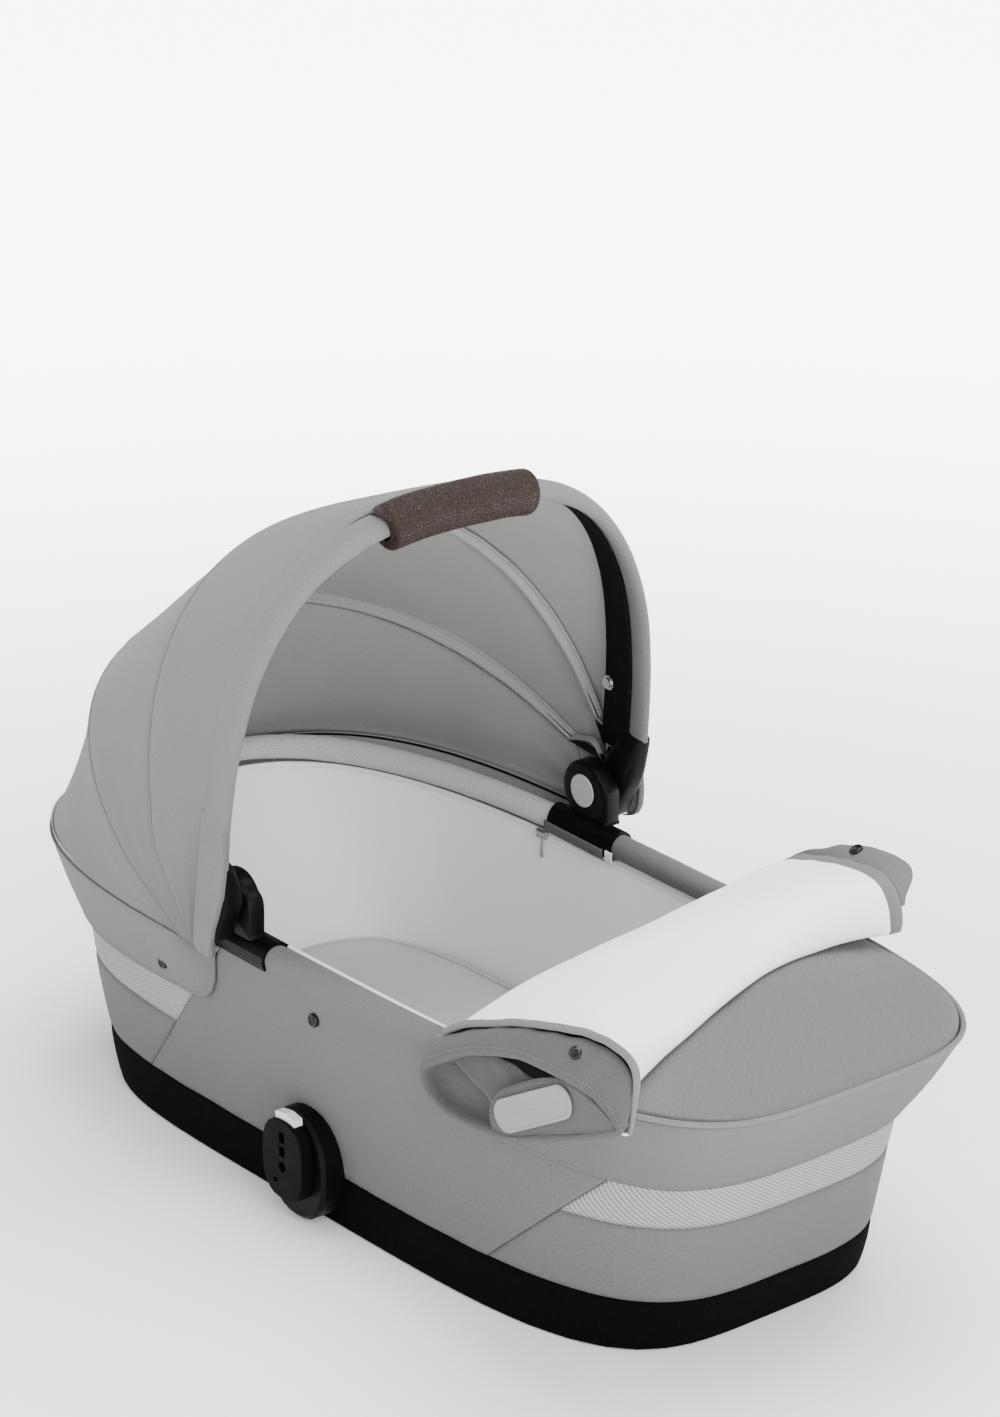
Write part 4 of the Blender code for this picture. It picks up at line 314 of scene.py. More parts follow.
# Materials
class Look:
    """A Principled material with procedural colour and bump."""

    def __init__(self, name, color, rough, metal=0.0, sheen=0.0, spec=0.5):
        self.material = bpy.data.materials.new(name)
        self.material.use_nodes = True
        self.nt = self.material.node_tree
        self.shader = self.nt.nodes["Principled BSDF"]
        self.set("Base Color", (*color, 1))
        self.set("Roughness", rough)
        self.set("Metallic", metal)
        self.set("Specular IOR Level", spec)
        self.set("Sheen Weight", sheen)
        self.set("Sheen Roughness", 0.5)
        self.color = color
        self.heights = []

    def set(self, socket, value):
        self.shader.inputs[socket].default_value = value

    def link(self, a, b):
        self.nt.links.new(a, b)

    def node(self, kind, **values):
        n = self.nt.nodes.new(kind)
        for key, value in values.items():
            setattr(n, key, value)
        return n

    def coords(self, scale=(1, 1, 1), turn=0.0, uv=True):
        c = self.node("ShaderNodeTexCoord")
        m = self.node("ShaderNodeMapping")
        m.inputs["Scale"].default_value = scale
        m.inputs["Rotation"].default_value = (0, 0, turn)
        self.link(c.outputs["UV" if uv else "Object"], m.inputs["Vector"])
        return m.outputs["Vector"]

    def noise(self, vector, scale=1.0, detail=2.0, rough=0.5):
        n = self.node("ShaderNodeTexNoise")
        n.inputs["Scale"].default_value = scale
        n.inputs["Detail"].default_value = detail
        n.inputs["Roughness"].default_value = rough
        self.link(vector, n.inputs["Vector"])
        return n.outputs["Fac"]

    def math(self, op, a, b=None, c=None):
        n = self.node("ShaderNodeMath", operation=op)
        for k, value in enumerate((a, b, c)):
            if value is None:
                continue
            if isinstance(value, (int, float)):
                n.inputs[k].default_value = value
            else:
                self.link(value, n.inputs[k])
        return n.outputs[0]

    def ramp(self, value, low, high, first=0.0, last=1.0):
        n = self.node("ShaderNodeMapRange", interpolation_type="SMOOTHSTEP")
        for key, v in (("From Min", low), ("From Max", high), ("To Min", first), ("To Max", last)):
            n.inputs[key].default_value = v
        self.link(value, n.inputs["Value"])
        return n.outputs["Result"]

    def weave(self, vector, pitch_u, pitch_v, kind="plain"):
        """Threads crossing at the given pitches, as a height from 0 to 1."""
        s = self.node("ShaderNodeSeparateXYZ")
        self.link(vector, s.inputs[0])
        a = self.math("SINE", self.math("MULTIPLY", s.outputs[0], math.tau / pitch_u))
        b = self.math("SINE", self.math("MULTIPLY", s.outputs[1], math.tau / pitch_v))
        if kind == "twill":
            both = self.math("ADD", self.math("MULTIPLY", s.outputs[0], math.tau / pitch_u),
                             self.math("MULTIPLY", s.outputs[1], math.tau / pitch_v))
            return self.math("MULTIPLY_ADD", self.math("SINE", both), 0.5, 0.5)
        if kind == "rib":
            return self.math("MULTIPLY_ADD", a, 0.5, 0.5)
        return self.math("MULTIPLY_ADD", self.math("MULTIPLY", a, b), 0.5, 0.5)

    def shade(self, *values):
        """Base colour as the material's colour times 1 plus the sum of value times amount."""
        total = 1.0
        for value, amount, middle in values:
            total = self.math("MULTIPLY_ADD", self.math("SUBTRACT", value, middle), amount, total)
        n = self.node("ShaderNodeVectorMath", operation="SCALE")
        n.inputs[0].default_value = self.color
        self.link(total, n.inputs["Scale"])
        self.link(n.outputs[0], self.shader.inputs["Base Color"])

    def rough(self, value, low, high):
        self.link(self.ramp(value, 0.2, 0.8, low, high), self.shader.inputs["Roughness"])

    def bump(self, value, depth):
        n = self.node("ShaderNodeBump")
        n.inputs["Strength"].default_value = 1.0
        n.inputs["Distance"].default_value = depth * MM
        self.link(value, n.inputs["Height"])
        if self.heights:
            self.link(self.heights[-1], n.inputs["Normal"])
        self.heights.append(n.outputs[0])
        self.link(n.outputs[0], self.shader.inputs["Normal"])


def cloth(name, color, fleck=0.42, pitch=1.3, kind="plain", uv=True, sheen=0.06, depth=0.12, rough=0.92,
          spec=0.1):
    """Melange cloth: flecks along both thread directions over a fine weave."""
    k = Look(name, color, rough, sheen=sheen, spec=spec)
    warp = k.noise(k.coords((300, 1300, 300), 0.0, uv), 1, 1)
    weft = k.noise(k.coords((1300, 300, 1300), 0.0, uv), 1, 1)
    broad = k.noise(k.coords((9, 9, 9), 0, uv), 1, 3)
    weave = k.weave(k.coords((1, 1, 1), 0, uv), pitch * MM, pitch * MM, kind)
    k.shade((warp, fleck, 0.5), (weft, fleck, 0.5), (broad, 0.05, 0.5), (weave, 0.05, 0.5))
    k.bump(weave, depth)
    k.bump(k.noise(k.coords((60, 60, 60), 0, uv), 1, 2), 0.25)
    return k.material


def knit(name, color, cell=4.2):
    """Spacer mesh: light threads round small dark holes."""
    k = Look(name, color, 0.9, sheen=0.05, spec=0.1)
    v = k.coords((1 / (cell * MM), 1 / (cell * MM), 1))
    s = k.node("ShaderNodeSeparateXYZ")
    k.link(v, s.inputs[0])
    slanted = k.math("MULTIPLY", s.outputs[1], 1.3)
    first = k.math("SINE", k.math("MULTIPLY", k.math("ADD", s.outputs[0], slanted), math.pi))
    second = k.math("SINE", k.math("MULTIPLY", k.math("SUBTRACT", s.outputs[0], slanted), math.pi))
    hole = k.ramp(k.math("ABSOLUTE", k.math("MULTIPLY", first, second)), 0.2, 0.75)
    fine = k.noise(k.coords((2200, 900, 1)), 1, 2)
    k.shade((hole, -0.75, 0.35), (fine, 0.45, 0.5))
    k.bump(k.math("SUBTRACT", 1.0, hole), 0.6)
    return k.material


def satin(name, color, rough=0.62, fine=0.05):
    k = Look(name, color, rough, sheen=0.25, spec=0.35)
    weave = k.weave(k.coords((1, 1, 1)), 0.9 * MM, 0.9 * MM, "twill")
    broad = k.noise(k.coords((14, 14, 14)), 1, 3)
    k.shade((broad, 0.03, 0.5), (weave, 0.03, 0.5), (k.noise(k.coords((1500, 300, 1)), 1, 1), 0.05, 0.5))
    k.bump(weave, fine)
    k.bump(broad, 0.5)
    return k.material


def plastic(name, color, rough=0.45, grain=0.05, spec=0.5):
    k = Look(name, color, rough, spec=spec)
    fine = k.noise(k.coords((1800, 1800, 1800), 0, False), 1, 2)
    broad = k.noise(k.coords((45, 45, 45), 0, False), 1, 3)
    k.shade((broad, 0.12, 0.5), (fine, 0.10, 0.5))
    k.rough(broad, rough - 0.06, rough + 0.08)
    k.bump(fine, grain)
    return k.material


def metal(name, color, rough=0.25, stretch=(60, 60, 2200)):
    k = Look(name, color, rough, metal=1.0)
    brushed = k.noise(k.coords(stretch, 0, False), 1, 2)
    k.shade((brushed, 0.12, 0.5))
    k.rough(brushed, rough - 0.07, rough + 0.1)
    k.bump(brushed, 0.02)
    return k.material


def leather(name, color):
    k = Look(name, color, 0.42, spec=0.2)
    v = k.node("ShaderNodeTexVoronoi", feature="DISTANCE_TO_EDGE")
    v.inputs["Scale"].default_value = 1
    k.link(k.coords((430, 430, 430), 0, False), v.inputs["Vector"])
    pebble = k.ramp(v.outputs["Distance"], 0.0, 0.32)
    broad = k.noise(k.coords((40, 40, 40), 0, False), 1, 3)
    k.shade((pebble, 0.7, 0.6), (broad, 0.4, 0.5))
    k.rough(pebble, 0.62, 0.36)
    k.bump(pebble, 0.9)
    k.bump(k.noise(k.coords((1500, 1500, 1500), 0, False), 1, 2), 0.06)
    return k.material


HOOD = cloth("hood_melange", (0.118, 0.118, 0.113))
LINING = cloth("hood_lining", (0.235, 0.235, 0.227), fleck=0.2, pitch=1.1)
# The cuff is the side cloth made darker: painted shade for a band that faces down and away from the lamps.
SHADED_CUFF_CLOTH = cloth("cuff_melange_painted_shade", (0.070, 0.070, 0.067))
SIDE = cloth("side_melange", (0.106, 0.106, 0.102))
COVER = cloth("cover_twill", (0.124, 0.124, 0.119), fleck=0.3, pitch=2.2, kind="twill", depth=0.5)
# The rim's cloth is the grey cloth made lighter: painted light for the rim's top, which faces the top lamp.
LIT_RIM_CLOTH = cloth("rim_cloth_painted_light", (0.200, 0.200, 0.192), fleck=0.14)
PIPING = cloth("piping_cloth", (0.130, 0.130, 0.125), fleck=0.1)
MESH = knit("vent_mesh", (0.27, 0.27, 0.262))
INNER_MESH = knit("inner_mesh", (0.55, 0.55, 0.535), 3.0)
LINER = satin("liner_satin", (0.86, 0.86, 0.865))
FLAP = satin("flap_satin", (0.85, 0.85, 0.855), 0.55)
MATTRESS = cloth("mattress_jersey", (0.60, 0.60, 0.595), fleck=0.05, pitch=1.0, depth=0.08)
BAND_CLOTH = cloth("band_weave", (0.0022, 0.0022, 0.0022), fleck=0.8, pitch=1.6, kind="rib", sheen=0.0,
                   depth=0.25, spec=0.03)
WEBBING = cloth("black_webbing", (0.0035, 0.0035, 0.0035), fleck=0.5, pitch=1.4, kind="rib", sheen=0.0,
                depth=0.25, spec=0.06)
THREAD = cloth("thread", (0.15, 0.15, 0.145), fleck=0.05, uv=False)
WHITE_TAPE = cloth("white_tape", (0.62, 0.62, 0.62), fleck=0.05, pitch=1.0)
ZIP_GREY = cloth("zip_tape_cloth", (0.085, 0.085, 0.082), fleck=0.08, pitch=1.0)
FOAM = cloth("padding_foam", (0.40, 0.39, 0.35), fleck=0.2, uv=False)
LEATHER = leather("grip_leather_look", (0.0175, 0.0068, 0.0044))
BLACK = plastic("black_plastic_look", (0.0022, 0.0022, 0.0022), 0.4, spec=0.07)
DARK = plastic("dark_plastic_look", (0.0022, 0.0022, 0.0023), 0.5, spec=0.04)
SNAP = plastic("snap_look", (0.003, 0.003, 0.003), 0.3, spec=0.22)
GREY = plastic("grey_plastic_look", (0.36, 0.36, 0.355), 0.42, spec=0.3)
WHITE = plastic("white_plastic_look", (0.62, 0.62, 0.61), 0.3)
PALE = plastic("pale_tag_look", (0.19, 0.19, 0.187), 0.5, spec=0.3)
CHROME = metal("bright_steel_look", (0.45, 0.45, 0.46), 0.2)
ALUMINIUM = metal("aluminium_look", (0.40, 0.40, 0.41), 0.35)
BOARD = cloth("board_look", (0.16, 0.12, 0.08), fleck=0.25, uv=False)

SIDES = {"near": -1, "far": 1}


def pair(name):
    """The names of a node's near and far piece."""
    return [name + "_near", name + "_far"]


# Finishes of the plain solids
for names, look in (
        (["base_tray"] + pair("saddle") + pair("hinge_housing") + pair("bow_arm") + pair("adapter_boss")
         + ["hood_rib_a", "hood_rib_b"], BLACK),
        (pair("adapter_plate"), DARK), (pair("hinge_button"), GREY), (pair("release_button"), WHITE),
        (["bow_tube", "rim_tube"], ALUMINIUM), (pair("bow_stud") + pair("hinge_pin"), CHROME),
        (["mattress_board"], BOARD)):
    for n in names:
        nodes[n].data.materials.clear()
        nodes[n].data.materials.append(look)


# Tub: band, wall panels, rim, liner
ring = even(0, math.tau, 361)[:-1]
prof = [(3.2, 0.7), (1.2, 1.6), (0.3, 4), (-0.4, 12), (-0.7, 24), (-0.4, 36), (0.2, 42.5), (0.9, 44.4),
        (2.2, 45.2)]
rows = np.stack([wall(ring, z * MM, i * MM) for i, z in prof], 1)
sheet_mesh("woven_band", rows, [BAND_CLOTH], 1.6 * MM, closed=True, body="tub", node="base_band",
           slot="black_fabric")

HEAD_SEAM, FOOT_SEAM = (-229, -92), (194, 386)
VALLEY_DEPTH, VALLEY_REACH = 1.0 * MM, 2.2 * MM


def seam_x(seam, z, shift=0.0):
    return mix(seam[0], seam[1], (z - BAND_Z) / (RIM_Z - BAND_Z)) * MM + shift


def panel(name, z0, z1, a0, a1, node, slot, mat, high, seed, wrinkle=0.9, count=150):
    """Wall panel between two heights and two seams given as angles for each height."""
    z = np.linspace(z0, z1, high)
    s = np.linspace(0, 1, count)
    lo, hi = a0(z), a1(z)
    a = mix(lo[None], hi[None], s[:, None])
    zz = np.broadcast_to(z[None], a.shape)
    p = wall(a, zz, 0.0)
    length = np.linalg.norm(np.diff(p[:, high // 2], axis=0), axis=1).sum()
    ends = np.minimum(s, 1 - s)[:, None] * length + np.zeros_like(a)
    tops = np.minimum(zz - z0, z1 - zz)
    waves = wrinkle * MM * field(p * (1, 1, 0.5), 0.07, seed) * 0.35
    lift = shape_edge(ends, tops, VALLEY_DEPTH, VALLEY_REACH) + waves
    p = p + outward(a, zz) * lift[..., None]
    sheet_mesh(name, p, [mat], 2.0 * MM, body="tub", node=node, slot=slot)


WALL_FOOT = BAND_Z + 0.3 * MM
for name, side in SIDES.items():
    levels = np.concatenate([np.linspace(WALL_FOOT, WALL_TOP, 26), np.linspace(WALL_TOP, RIM_MID_Z, 5)[1:]])
    turns = np.linspace(0, math.radians(212), 24)[1:]
    s = np.linspace(0, 1, 170)[:, None]
    head = angle_at(seam_x(HEAD_SEAM, levels, 0.3 * MM), levels, side)
    foot = angle_at(seam_x(FOOT_SEAM, levels, -0.3 * MM), levels, side)
    first, last = (head, foot) if side < 0 else (foot, head)
    a = mix(first[None], last[None], s)
    zz = np.broadcast_to(levels[None], a.shape)
    p = wall(a, zz, 0.0)
    length = np.linalg.norm(np.diff(p[:, 13], axis=0), axis=1).sum()
    ends = np.minimum(s, 1 - s) * length + np.zeros_like(a)
    waves = 0.32 * MM * field(p * (1, 1, 0.5), 0.07, 3 + side)
    lift = shape_edge(ends, zz - WALL_FOOT, VALLEY_DEPTH, VALLEY_REACH) + waves
    lift = lift - 0.5 * MM * bell(zz - 0.199, 0.004)
    p = p + outward(a, zz) * lift[..., None]
    over = np.stack([rim_point(a[:, -1], SLEEVE_R + 0.15 * MM, t) for t in turns], 1)
    roll_way = unit(over - rim_point(a[:, -1], 0.0, 0.0)[:, None])
    over = over + roll_way * (0.12 * MM * field(over, 0.03, 12))[..., None]
    sheet_mesh("soft_side_" + name, np.concatenate([p, over], 1), [SIDE], 0.3 * MM, body="tub",
               node="side_panel_" + name, slot="grey_fabric")
for key, seam, shift in (("head", HEAD_SEAM, -0.3 * MM), ("foot", FOOT_SEAM, 0.3 * MM)):
    far = lambda z: angle_at(seam_x(seam, z, shift), z, 1)
    near = lambda z: angle_at(seam_x(seam, z, shift), z, -1)
    first, last = (far, near) if key == "head" else (near, lambda z: far(z) + math.tau)
    split = (104 if key == "head" else 112) * MM
    panel("soft_%s_low" % key, WALL_FOOT, split - 0.2 * MM, first, last, key + "_panel", "grey_fabric",
          SIDE, 14, 7)
    panel("soft_%s_vent" % key, split + 0.2 * MM, WALL_TOP, first, last, key + "_vent", "mesh_fabric", MESH,
          18, 8, 0.5)


# Rim: a cloth sleeve, knitted mesh round the head behind the hinges
def rim_turn(x, side):
    return float(angle_at(np.array(x), RIM_MID_Z, side))


turns = np.linspace(-math.pi / 2, math.pi * 1.5, 19)
# The foot part of the rim takes the lighter copy of the grey cloth: painted light.
parts = {"foot": (rim_turn(-0.131, -1) - math.tau, rim_turn(-0.131, 1), LIT_RIM_CLOTH),
         "head": (rim_turn(-0.132, 1), rim_turn(-0.132, -1), INNER_MESH)}
RIM_SEAMS = ((-0.3740, 0.118), (-0.3400, 0.142), (-0.3740, -0.118), (-0.3400, -0.142))
for key, (start, end, look) in parts.items():
    a = even(start, end, 260, RIM_MID_Z)
    p = np.stack([rim_point(a, SLEEVE_R - (0.6 * MM if key == "foot" else 0), t) for t in turns], 1)
    mid = rim_point(a, 0.0, 0.0)
    puck = 1 + 0.012 * field(p, 0.03, 12)
    if key == "head":
        for place in RIM_SEAMS:
            seam = np.linalg.norm(mid[:, :2] - place, axis=1)
            puck = puck - 0.07 * bell(seam, 0.0016)[:, None]
    p = mid[:, None] + (p - mid[:, None]) * puck[..., None]
    sheet_mesh("rim_cover_" + key, p, [look], body="tub", node="rim_sleeve" if key == "foot" else None,
               slot="grey_fabric")

a = even(rim_turn(-0.040, -1), rim_turn(0.165, -1), 60, RIM_MID_Z)
line = rim_point(a, SLEEVE_R + 1.6 * MM, math.pi - math.radians(58))
tube("rim_piping", line, np.linspace(1.8, 1.4, len(line)) * MM, [WHITE_TAPE], "tub", 10, node="rim_binding",
     slot="white_fabric")

SCREW_X, SCREW_Y, SCREW_Z = -0.1035, 0.1618, 0.2095
SCREW_PROFILE = [(3.3, -1.5), (3.3, 0.5), (2.8, 1.1), (1.2, 1.2), (0.9, 0.7), (0, 0.7)]
for name, side in SIDES.items():
    lathe("screw_" + name, (SCREW_X, side * SCREW_Y, SCREW_Z), (0, -side, 0.2), SCREW_PROFILE, [CHROME],
          "tub", 24, slot="steel")

# Liner: one cloth tub with a seam near the head, and the padding behind it
LINER_IN = 11.5 * MM + 1.5 * MM
LINER_TOP = 195.6 * MM
z = np.concatenate([np.linspace(8, 50, 6), np.linspace(58, 180, 16), np.linspace(183, 195.4, 11)]) * MM
a = even(0, math.tau, 721)[:-1]
zz = np.broadcast_to(z[None], (len(a), len(z)))
aa = np.broadcast_to(a[:, None], zz.shape)
p = wall(aa, zz, LINER_IN)
fold = field(p * (1, 1, 0.35), 0.13, 21) * 1.0 * MM
fold = fold * ease((zz - 0.05) / 0.05) * ease((WALL_TOP - zz) / 0.04)
push = np.maximum(fold, -0.7 * MM) + 0.4 * MM
for side in (-1, 1):
    seam = np.linalg.norm((p - np.array([-0.300, side * 0.128, 0])) * (1, 1, 0), axis=2)
    push = push - 1.1 * MM * bell(seam, 0.0018) + 0.5 * MM * bell(seam - 0.007, 0.004)
push = push - 0.7 * MM * bell(zz - 0.187, 0.0012)
p = p - outward(aa, zz) * push[..., None]
liner = sheet_mesh("soft_liner", p, [LINER], 1.2 * MM, closed=True, body="tub", flip=True, node="liner",
                   slot="white_fabric")
panel_of_cloth(p, closed=True)
line = wall(a, LINER_TOP, LINER_IN + 0.9 * MM)
tube("liner_piping", line, 1.35 * MM, [WHITE_TAPE], "tub", 8, closed=True, slot="white_fabric")
hem = wall(a, 190.5 * MM, LINER_IN + 1.2 * MM)
stitches("liner_stitch", np.concatenate([hem, hem[:1]]), "tub", pitch=3.4, length=2.4, radius=0.25,
         mat=WHITE_TAPE)
z2 = np.linspace(50, 195, 8) * MM
p = np.stack([wall(ring, v, 9.5 * MM) for v in z2], 1)
pad = sheet_mesh("wall_pad", p, [FOAM], 1.5 * MM, closed=True, body="tub", flip=True, node="wall_padding",
                 slot="padding")

# Zip under the rim: tape, coil of teeth
for key, x0, look in (("foot", -0.0405, WHITE_TAPE), ("head", -0.0455, ZIP_GREY)):
    far_end, near_end = [float(angle_at(np.array(x0), WALL_TOP, s, 13 * MM)) for s in (1, -1)]
    start, end = (near_end - math.tau, far_end) if key == "foot" else (far_end, near_end)
    a = even(start, end, 200, 0.19)
    zz = np.linspace(196.6, 201.5, 5) * MM
    grid_a, grid_z = np.meshgrid(a, zz, indexing="ij")
    p = wall(grid_a, grid_z, 17.6 * MM)
    sheet_mesh("zip_cloth_" + key, p, [look], 1.0 * MM, body="tub", flip=True, node="zip_tape_" + key,
               slot="white_fabric" if key == "foot" else "inner_fabric")
    line = wall(a, 198.4 * MM, 18.0 * MM)
    stitches("zip_teeth_" + key, line, "tub", pitch=1.7, length=1.1, radius=0.85,
             mat=WHITE_TAPE if key == "foot" else ZIP_GREY)


# Zip slider: a small body with a pull tab
middle = np.array([(a + b) / 2 for a, b in zip(*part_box("zip_slider"))])
along_zip = unit(np.array([-0.99855, -0.0538, 0]))
path = middle + along_zip * np.linspace(-5, 5, 12)[:, None] * MM + (0, 0, 8.3 * MM)
tube("slider_body", path, 4.2 * MM, [CHROME], "zip_slider", 18,
     shape=lambda t: 1 / np.sqrt((np.cos(t) / 0.42) ** 2 + np.sin(t) ** 2), node="zip_slider",
     slot="white_plastic")
path = middle + np.stack([np.zeros(14), np.zeros(14), np.linspace(5, -11.5, 14) * MM], 1)
tube("slider_pull", path, np.interp(np.arange(14), [0, 5, 9, 13], [1.3, 1.6, 2.9, 2.6]) * MM, [CHROME],
     "zip_slider", 18, up=(0, 1, 0), shape=lambda t: 1 / np.sqrt(np.cos(t) ** 2 + (np.sin(t) / 0.4) ** 2),
     node="zip_slider", slot="white_plastic")


# Mattress
def mattress():
    bottom, thick = 8.5 * MM, 38 * MM
    prof = []
    for k in range(9):
        h = k / 8
        prof.append((14.3 + 3.6 * (1 - math.sin(math.pi * h)), bottom + thick * h))
    edge_z = bottom + thick
    reach = 151.0
    for k in range(1, 15):
        s = k / 15
        rise = 6.6 * (1 - (1 - s) ** 3)
        dip = 1.6 * math.exp(-((k - 1.5) / 0.8) ** 2)
        prof.append((17.9 + reach * s ** 1.35, edge_z + (rise - dip) * MM))
    loops = []
    for inset, z in prof:
        q = wall(ring[::2], min(z, edge_z), inset * MM)
        q[:, 2] = z
        loops.append(q)
    below = [loops[0] * (1, f, 1) for f in (0, 0.5)]
    above = [loops[-1] * (1, f, 1) for f in (0.6, 0.3, 0)]
    loops = below + loops + above
    p = np.stack(loops, 1)
    top = (p[..., 2] > edge_z)[..., None]
    p = p + np.where(top, np.array([0, 0, 1.0]), 0) * (field(p, 0.12, 31) * 0.9 * MM - 0.9 * MM)[..., None]
    ob = sheet_mesh("soft_mattress", p, [MATTRESS], closed=True, body="tub", node="mattress",
                    slot="mattress_fabric")
    line = np.concatenate([loops[11], loops[11][:1]]) + (0, 0, 0.9 * MM)
    tube("mattress_edge", line[:-1], 0.8 * MM, [MATTRESS], "tub", 8, closed=True, slot="inner_fabric")


mattress()


# Hood
def tilted(tilt):
    """The ways ahead and up of an arch that leans by an angle."""
    return np.array([math.cos(tilt), 0, -math.sin(tilt)]), np.array([math.sin(tilt), 0, math.cos(tilt)])


TILT = math.radians(5.38)
AHEAD, UP = tilted(TILT)
SEAM_A = (math.radians(-24.3), -19.1, 0, 227.8, 276.3, 2.22)
SEAM_B = (math.radians(-62.7), -22.2, 12.5, 226.4, 294.5, 2.26)
PUFFS = (3, -1, -8)
PIVOT = np.array([PIVOT_X * MM, 0, PIVOT_Z * MM])


def arch(turn, tilt, offset, base, half, height, power, shift=0.0):
    c, s = np.cos(turn), np.sin(turn)
    y = -np.sign(c) * (half + shift) * np.abs(c) ** (2 / power)
    rise = base + (height + shift) * np.abs(s) ** (2 / power)
    ahead, up = tilted(tilt)
    p = PIVOT + (ahead * offset + up * rise[..., None]) * MM
    p[..., 1] = y * MM
    return p


# Lower edge of the hood, seen from above
EDGE_X, EDGE_REACH, EDGE_HALF, EDGE_POWER, EDGE_Z = -98.6, 336, 210.2, 3.08, 208.9


def seam_c(turn, shift=0.0, z=EDGE_Z):
    c, s = np.cos(turn), np.sin(turn)
    y = -np.sign(c) * (EDGE_HALF + shift) * np.abs(c) ** (2 / EDGE_POWER)
    x = EDGE_X - (EDGE_REACH + shift) * np.abs(s) ** (2 / EDGE_POWER)
    return xyz(x, y, z) * MM


def seam_c_turn(x):
    return math.asin((max(EDGE_X - x, 0) / EDGE_REACH) ** (EDGE_POWER / 2))


HALF = 11
START = 0.16


def both_halves(start, steps=HALF):
    half = np.linspace(start, math.pi / 2, steps + 1)
    return np.concatenate([half, math.pi - half[-2::-1]])


def hood_seam(seam, foot_x):
    p = arch(both_halves(START), *seam)
    foot = seam_c(np.array([seam_c_turn(foot_x)]))[0]
    return np.concatenate([[foot], p, [foot * (1, -1, 1)]])


def front_seam():
    p = hood_seam((TILT, 13.1, 29.5, 218, 276.4, 2.78), -101)
    back = 1 - ease((np.abs(p[:, 1]) - 0.088) / 0.03)
    return p + AHEAD * (-10.4 * MM) * back[:, None]


def rear_seam():
    return seam_c(both_halves(seam_c_turn(-121), HALF + 1))


LINES = [front_seam(), hood_seam(SEAM_A, -109), hood_seam(SEAM_B, -121), rear_seam()]
ROWS, COLS = 181, 41


def gore(k):
    """Points of a hood panel between two seams."""
    a, b = catmull(LINES[k], ROWS), catmull(LINES[k + 1], ROWS)
    s = np.linspace(0, 1, COLS)
    a = a + unit(b - a) * 0.15 * MM
    b = b - unit(b - a) * 0.15 * MM
    p = mix(a[:, None], b[:, None], s[None, :, None])
    share = np.linspace(0, 1, ROWS)[:, None]
    around = np.sin(math.pi * share)
    hump = (4 * s * (1 - s))[None]
    p = p + unit(p - PIVOT) * (PUFFS[k] * MM * around * hump)[..., None]
    width = np.linalg.norm(b - a, axis=1)[:, None]
    edge = np.minimum(s, 1 - s)[None] * width
    n = normals(p)
    if (n[ROWS // 2, COLS // 2] @ (p[ROWS // 2, COLS // 2] - PIVOT)) < 0:
        n = -n
    gather = np.exp(-np.minimum(share, 1 - share) / 0.06)
    lift = -1.6 * MM * np.exp(-edge / (3.2 * MM))
    lift = lift + field(p, 0.12, 40 + k) * 0.6 * MM * clamp(edge / 0.03)
    lift = lift + np.sin(s * math.tau * 2.5 + k)[None] * 0.8 * MM * gather * clamp(edge / 0.012)
    pucker = np.sin(share * 900 + 3 * field(p, 0.05, 60 + k))
    lift = lift + pucker * 0.22 * MM * np.exp(-edge / (7 * MM)) * clamp(edge / 0.002)
    if k == 0:
        lift = lift - 0.9 * MM * bell(edge - 0.021, 0.0022) * (s[None] < 0.5) * around
    return p + n * lift[..., None]


panels = ["front", "middle", "rear"]
for k, name in enumerate(panels):
    p = gore(k)
    ob = sheet_mesh("hood_cloth_" + name, p, [HOOD, LINING], 1.8 * MM,
                    face=(ROWS // 2, COLS // 2, p[ROWS // 2, COLS // 2] - PIVOT), node="hood_panel_" + name,
                    slot="grey_fabric")
    panel_of_cloth(p)
    if k < 2:
        mid_a, mid_b = LINES[k][12], LINES[k + 1][12]
        centre = (mid_a + mid_b) / 2
        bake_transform(ob)
    else:
        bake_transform(ob)


# Cloth channels that hold the ribs inside the hood, and run down over their legs to the hinges
def rib_path(seam, inset, knee_y, tab_y):
    """Middle line of a rib with its two legs, and the way across it at each point."""
    ahead, up = tilted(seam[0])
    t = np.linspace(START, math.pi - START, 150)
    top = arch(t, *seam, -3.8 - inset)
    leg = []
    for height, y in ((21, mix(tab_y, knee_y, 0.6)), (27, knee_y), (45, knee_y + 2.5)):
        leg.append(PIVOT + up * height * MM + np.array([0, -(y + 1.5) * MM, 0]))
    leg = np.array(leg)
    corner = catmull(np.concatenate([leg, top[:2]]), 40)[:-9]
    return np.concatenate([corner, top, corner[::-1] * (1, -1, 1)]), ahead


